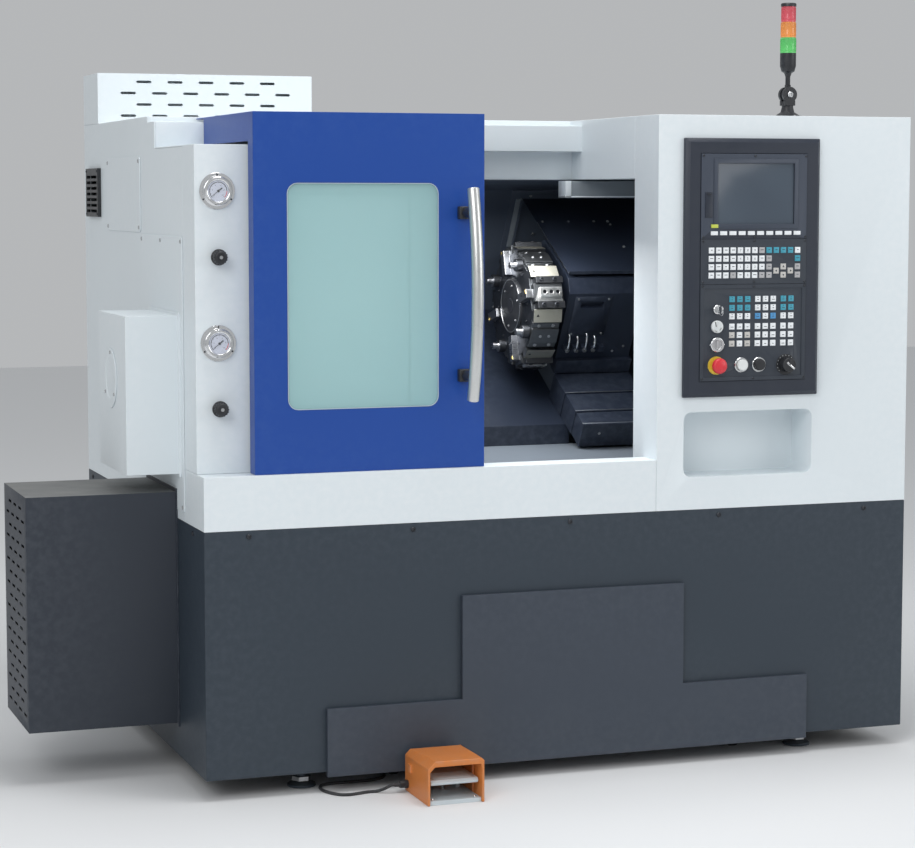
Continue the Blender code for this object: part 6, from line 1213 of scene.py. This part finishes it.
# %% [markdown]
# ## Inside the working space
# Everything here leans back with the slanted bed. `SLOPE` carries a point given by its place along
# the spindle, its way down the slope and its height out of it, so the strips and screws can be
# written as they would be measured on the machine. The moving covers have bright wiper edges, the
# walls have flat screws, and a pale grey strip runs down beside the turret's housing. The white box
# under the header is painted grey as painted shade.

# %% Strips, wipers and screws inside
LEAN_COS, LEAN_SIN = math.cos(math.radians(30)), math.sin(math.radians(30))
SLOPE = HERE @ Matrix(((1, 0, 0, 0), (0, -LEAN_COS, -LEAN_SIN, TURRET_Y), (0, -LEAN_SIN, LEAN_COS, TURRET_Z),
                       (0, 0, 0, 1)))
DOWN, OUT = Vector((0, -LEAN_COS, -LEAN_SIN)), Vector((0, -LEAN_SIN, LEAN_COS))
WALL_DOWN, SHROUD_OUT, NOZZLE_OUT = -0.33, 0.1413, -0.068
NOZZLE_RISES = (0.04, 0.032, 0.04, 0.032)
EDGE_STEEL = steel("bright edge", (0.5, 0.52, 0.55), (900.0, 60.0, 60.0), 0.35, 0.06, 0.1)
# Pale grey for the wall strip, and painted shade on the box under the header.
PALE_STRIP_AND_HEADER_SHADE = coated("pale strip and header shade", (134, 142, 148), 0.45, 0.2, 0.03, 0.05)
WIPER_BLACK = plastic("wiper lip", (24, 26, 30), 0.55, 0.2, 0.05)


def down_slope(x, down, out):
    return Vector((x, TURRET_Y - down * LEAN_COS - out * LEAN_SIN,
                   TURRET_Z - down * LEAN_SIN + out * LEAN_COS))


def slope_screws(piece, direction, radius, places):
    screws(piece, [down_slope(*place) for place in places], direction, radius)


fixed_trim = bmesh.new()
block(fixed_trim, (1.1, WALL_DOWN, -0.011), (1.118, -0.323, 0.142), 1, 0.0008, SLOPE)
slope_screws(fixed_trim, DOWN, 0.0045, [(x, WALL_DOWN, out) for x, out in (
    (1.1006, 0.135), (1.143, 0.15), (1.0998, 0.049), (1.1736, 0.026), (1.101, -0.215))])
finish_piece("wall_strip", fixed_trim, "interior_lining", SCREW_STEEL, PALE_STRIP_AND_HEADER_SHADE)

shroud_trim = bmesh.new()
slope_screws(shroud_trim, OUT, 0.0042, [(x, down, SHROUD_OUT) for x, down in (
    (1.137, -0.203), (1.213, -0.203), (1.289, -0.203), (1.33, -0.203), (1.332, -0.186), (1.329, -0.068))])
block(shroud_trim, (1.1196, -0.2, 0.1408), (1.1212, 0.065, 0.1416), 1, 0, SLOPE)
finish_piece("shroud_trim", shroud_trim, "turret_shroud", SCREW_STEEL, EDGE_STEEL)

slide_trim = bmesh.new()
slope_screws(slide_trim, DOWN, 0.0036, [(x, 0.11, -0.137) for x in (1.127, 1.17, 1.227, 1.28, 1.333)])
block(slide_trim, (1.1202, 0.11, -0.1462), (1.3398, 0.1135, -0.14), 2, 0.001, SLOPE)
slope_screws(slide_trim, DOWN, 0.0032, [(x, 0.102, out) for x in (1.149, 1.236) for out in (-0.027, 0.082)])
slope_screws(slide_trim, DOWN, 0.0034, [(x, 0.1, out) for x, out in (
    (1.149, -0.086), (1.179, -0.086), (1.282, -0.086), (1.3115, -0.071))])
for i, rise in enumerate(NOZZLE_RISES):
    x = 1.14 + i * 0.025
    path = [(0.1175, -0.068), (0.1215, -0.064), (0.1225, -0.056), (0.1215, -0.048),
            (0.1175, NOZZLE_OUT + rise), (0.1105, NOZZLE_OUT + rise + 0.006)]
    bent(slide_trim, 0.0032, [(x, down, out) for down, out in path], 3, SLOPE)
    turned(slide_trim, [(0.0034, 0), (0.0066, 0), (0.0066, 0.005), (0.0034, 0.006), (0.0034, 0)],
           aim(down_slope(x, 0.1178, NOZZLE_OUT), DOWN), 0, 6)
finish_piece("slide_trim", slide_trim, "turret_slide", SCREW_STEEL, EDGE_STEEL, WIPER_BLACK, CHROME)

for node_name, front, level in (("cover_plate_1", 0.208, -0.146), ("cover_plate_2", 0.29, -0.1475),
                                ("carriage_cover", 0.348, -0.1485)):
    edge_trim = bmesh.new()
    block(edge_trim, (1.121, front - 0.0026, level), (1.339, front - 0.0002, level + 0.0012), 1, 0.0004,
          SLOPE)
    if node_name == "carriage_cover":
        slope_screws(edge_trim, DOWN, 0.0038, [(1.175, front, -0.181), (1.281, front, -0.181)])
    finish_piece("edge_of_" + node_name, edge_trim, node_name, SCREW_STEEL, EDGE_STEEL)

# The box under the header is white sheet; its main body is painted grey where it stands in shade: painted
# shade. Its end and bottom plates stay white.
hanging = bmesh.new()
block(hanging, (1.104, 0.507, 1.41), (1.121, 0.5585, 1.4535), 0, 0.0012)
block(hanging, (1.121, 0.511, 1.4135), (1.8, 0.5585, 1.4535), 1, 0.0008)
block(hanging, (1.104, 0.507, 1.41), (1.8, 0.557, 1.4138), 0, 0.0006)
finish_piece("header_box", hanging, "roof_header", WHITE, PALE_STRIP_AND_HEADER_SHADE)
print("inside done")

# %% [markdown]
# ## Signal tower
# A folding foot carries the lamp stack. The three lenses are coloured plastic, and their ribs are
# real, since they give the stack its silky look. The colours from the top are red, orange and green.

# %% Signal tower
TOWER_X, TOWER_Y, ROOF_TOP, PIVOT_RISE = 1.54, 0.095, 1.6123, 0.056
LENS_FOOT, LENS_HIGH, LENS_RADIUS = ROOF_TOP + 0.1595 + 0.0003, 0.0388, 0.0202
LENS_TAPER, LENS_RIBS, CAP_HIGH = 0.0008, 36, 0.0085
LENSES = [("green lens", (96, 196, 108)), ("orange lens", (228, 148, 76)), ("red lens", (206, 84, 96))]
LENS_PLASTICS = [plastic(name, colour, 0.22, 0.03, 0.01) for name, colour in LENSES]
for lens in LENS_PLASTICS:
    lens.node_tree.nodes["Principled BSDF"].inputs["Coat Weight"].default_value = 0.4

lamps = bmesh.new()
stack_foot = aim((TOWER_X, TOWER_Y, LENS_FOOT), UP)
for level in range(len(LENSES)):
    radius = LENS_RADIUS - level * LENS_TAPER
    spot = lifted(stack_foot, level * LENS_HIGH)
    turned(lamps, [(0, 0), (radius - 0.0002, 0), (radius, 0.0006), (radius, 0.003), (radius - 0.0005, 0.0036),
                   (radius - 0.0005, LENS_HIGH - 0.0035), (radius, LENS_HIGH - 0.0029),
                   (radius, LENS_HIGH - 0.0016), (radius - 0.0012, LENS_HIGH - 0.0014),
                   (radius - 0.0012, LENS_HIGH), (0, LENS_HIGH)], spot, level, 48)
    for rib in range(LENS_RIBS):
        block(lamps, (radius - 0.0008, -0.0006, 0.0038), (radius, 0.0006, LENS_HIGH - 0.0037), level, 0,
              spot @ turn_about_z(360 / LENS_RIBS * rib))
cap_radius = LENS_RADIUS - LENS_TAPER
turned(lamps, [(0, 0), (cap_radius, 0), (cap_radius, 0.0062), (cap_radius - 0.0012, 0.0078),
               (cap_radius - 0.0032, CAP_HIGH), (0, CAP_HIGH)],
       lifted(stack_foot, len(LENSES) * LENS_HIGH), 3, 48)
finish_piece("lamp_stack", lamps, "tower_lenses", *LENS_PLASTICS, BLACK_PLASTIC, replaced=True)
soften("tower_foot", 0.0006, 2, "black_plastic")
soften("tower_arm", 0.0004)

pivot = bmesh.new()
for side in (-1, 1):
    screw(pivot, (TOWER_X, TOWER_Y + side * (0.005 + 0.0003 + 0.0095), ROOF_TOP + PIVOT_RISE), (0, side, 0),
          0.0078)
foot_middle = Vector((TOWER_X, TOWER_Y, ROOF_TOP + 0.0021))
screws(pivot, [foot_middle + around(0.039, 120 * step + 30) for step in range(3)], UP, 0.0028)
finish_piece("tower_pivot_screws", pivot, "tower_foot", SCREW_STEEL)
print("tower stands", round(LENS_FOOT + len(LENSES) * LENS_HIGH + CAP_HIGH, 3), "m high")

# %% [markdown]
# ## Foot pedal
# The hood is an orange casting over a pale treadle, with a small window and a rib inside it; a thin
# black plate in the window is painted shade. A coil spring holds the treadle up on a bright plunger.
# The cable enters through a gland with a domed nut and a short tapered sleeve.

# %% Pedal fittings
SPRING_X, SPRING_Y, SPRING_RADIUS = 0.547, -0.105, 0.0065
COIL_STEPS, COILS, SPRING_FOOT, SPRING_HIGH = 12, 6, 0.012, 0.03
GLAND_X, GLAND_Y, GLAND_Z, GLAND_PRINT = 0.476, -0.057, 0.02, 0.0125
spring = bmesh.new()
coil = [(SPRING_X + SPRING_RADIUS * math.cos(step * math.tau / COIL_STEPS),
         SPRING_Y + SPRING_RADIUS * math.sin(step * math.tau / COIL_STEPS),
         SPRING_FOOT + SPRING_HIGH * step / (COILS * COIL_STEPS)) for step in range(COILS * COIL_STEPS + 1)]
bent(spring, 0.0008, coil, rounds=1)
bar(spring, 0.0035, (SPRING_X, SPRING_Y, 0.01), (SPRING_X, SPRING_Y, 0.03), 1)
screws(spring, [(x, y, 0.01) for x in (0.495, 0.599) for y in (-0.185, -0.06)], UP, 0.004, 1)
# A thin black plate where the hood's small window lies in shade: painted shade.
block(spring, (0.572, -0.0414, 0.054), (0.59, -0.0411, 0.07), 2)
block(spring, (0.606, -0.15, 0.012), (0.6108, -0.144, 0.085), 3, 0.0012)
finish_piece("pedal_spring", spring, "pedal_base", SCREW_STEEL, CHROME, BLACK_PRINT_AND_SHADE, ORANGE)
print(paint(soft["pedal_hood"], BLACK_PLASTIC, lambda x, y, z: x < GLAND_X + 0.0004
            and math.dist((y, z), (GLAND_Y, GLAND_Z)) < GLAND_PRINT), "faces of the gland")

# %% [markdown]
# The treadle has six raised bars for grip. The gland is turned in three steps: a hex nut, a domed nut
# and the sleeve that keeps the cable from kinking.

# %% Treadle and gland
GRIPS, GRIP_MARGIN, GRIP_WIDTH, GRIP_STEP = 6, 0.012, 0.0035, 0.0105
grips = bmesh.new()
low, high = (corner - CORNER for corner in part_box("pedal_treadle"))
for row in range(GRIPS):
    y = low.y + 0.016 + row * GRIP_STEP
    block(grips, (low.x + GRIP_MARGIN, y, high.z - 0.0002),
          (high.x - GRIP_MARGIN, y + GRIP_WIDTH, high.z + 0.001), 0, 0.0004)
finish_piece("treadle_grips", grips, "pedal_treadle", TREAD)

gland = bmesh.new()
gland_spot = aim((GLAND_X, GLAND_Y, GLAND_Z), LEFT)
for profile, material, sides in (
        ([(0.0042, 0), (0.0105, 0), (0.0105, 0.007), (0.0092, 0.0082), (0.0042, 0.0082), (0.0042, 0)], 0, 6),
        ([(0.004, 0.008), (0.0082, 0.008), (0.0082, 0.015), (0.0062, 0.0205), (0.004, 0.0205),
          (0.004, 0.008)], 0, 28),
        ([(0.0038, 0.02), (0.0056, 0.02), (0.0044, 0.033), (0.0038, 0.033), (0.0038, 0.02)], 1, 24)):
    turned(gland, profile, gland_spot, material, sides)
finish_piece("cable_gland", gland, "pedal_hood", BLACK_PLASTIC, RUBBER)
print("pedal fitted")

# %% [markdown]
# ## Feet and wheels
# A hex nut locks each levelling foot against its block. The tank's four wheels are rubber with
# rounded treads.

# %% Feet and wheels
NUT_LEVEL = 0.0145
NUT = [(0.0138, 0), (0.0235, 0.0006), (0.0235, 0.0104), (0.0225, 0.011), (0.0138, 0.011), (0.0138, 0)]
nuts = bmesh.new()
for x in (0.255, 1.585):
    for y in (0.09, 1.315):
        turned(nuts, NUT, HERE @ Matrix.Translation((x, y, NUT_LEVEL)), 0, 6)
finish_piece("foot_nuts", nuts, "base", SCREW_STEEL)
for corner in ("front_left", "back_left", "front_right", "back_right"):
    soften("tank_wheel_" + corner, 0.002, 3)
print("feet and wheels done")
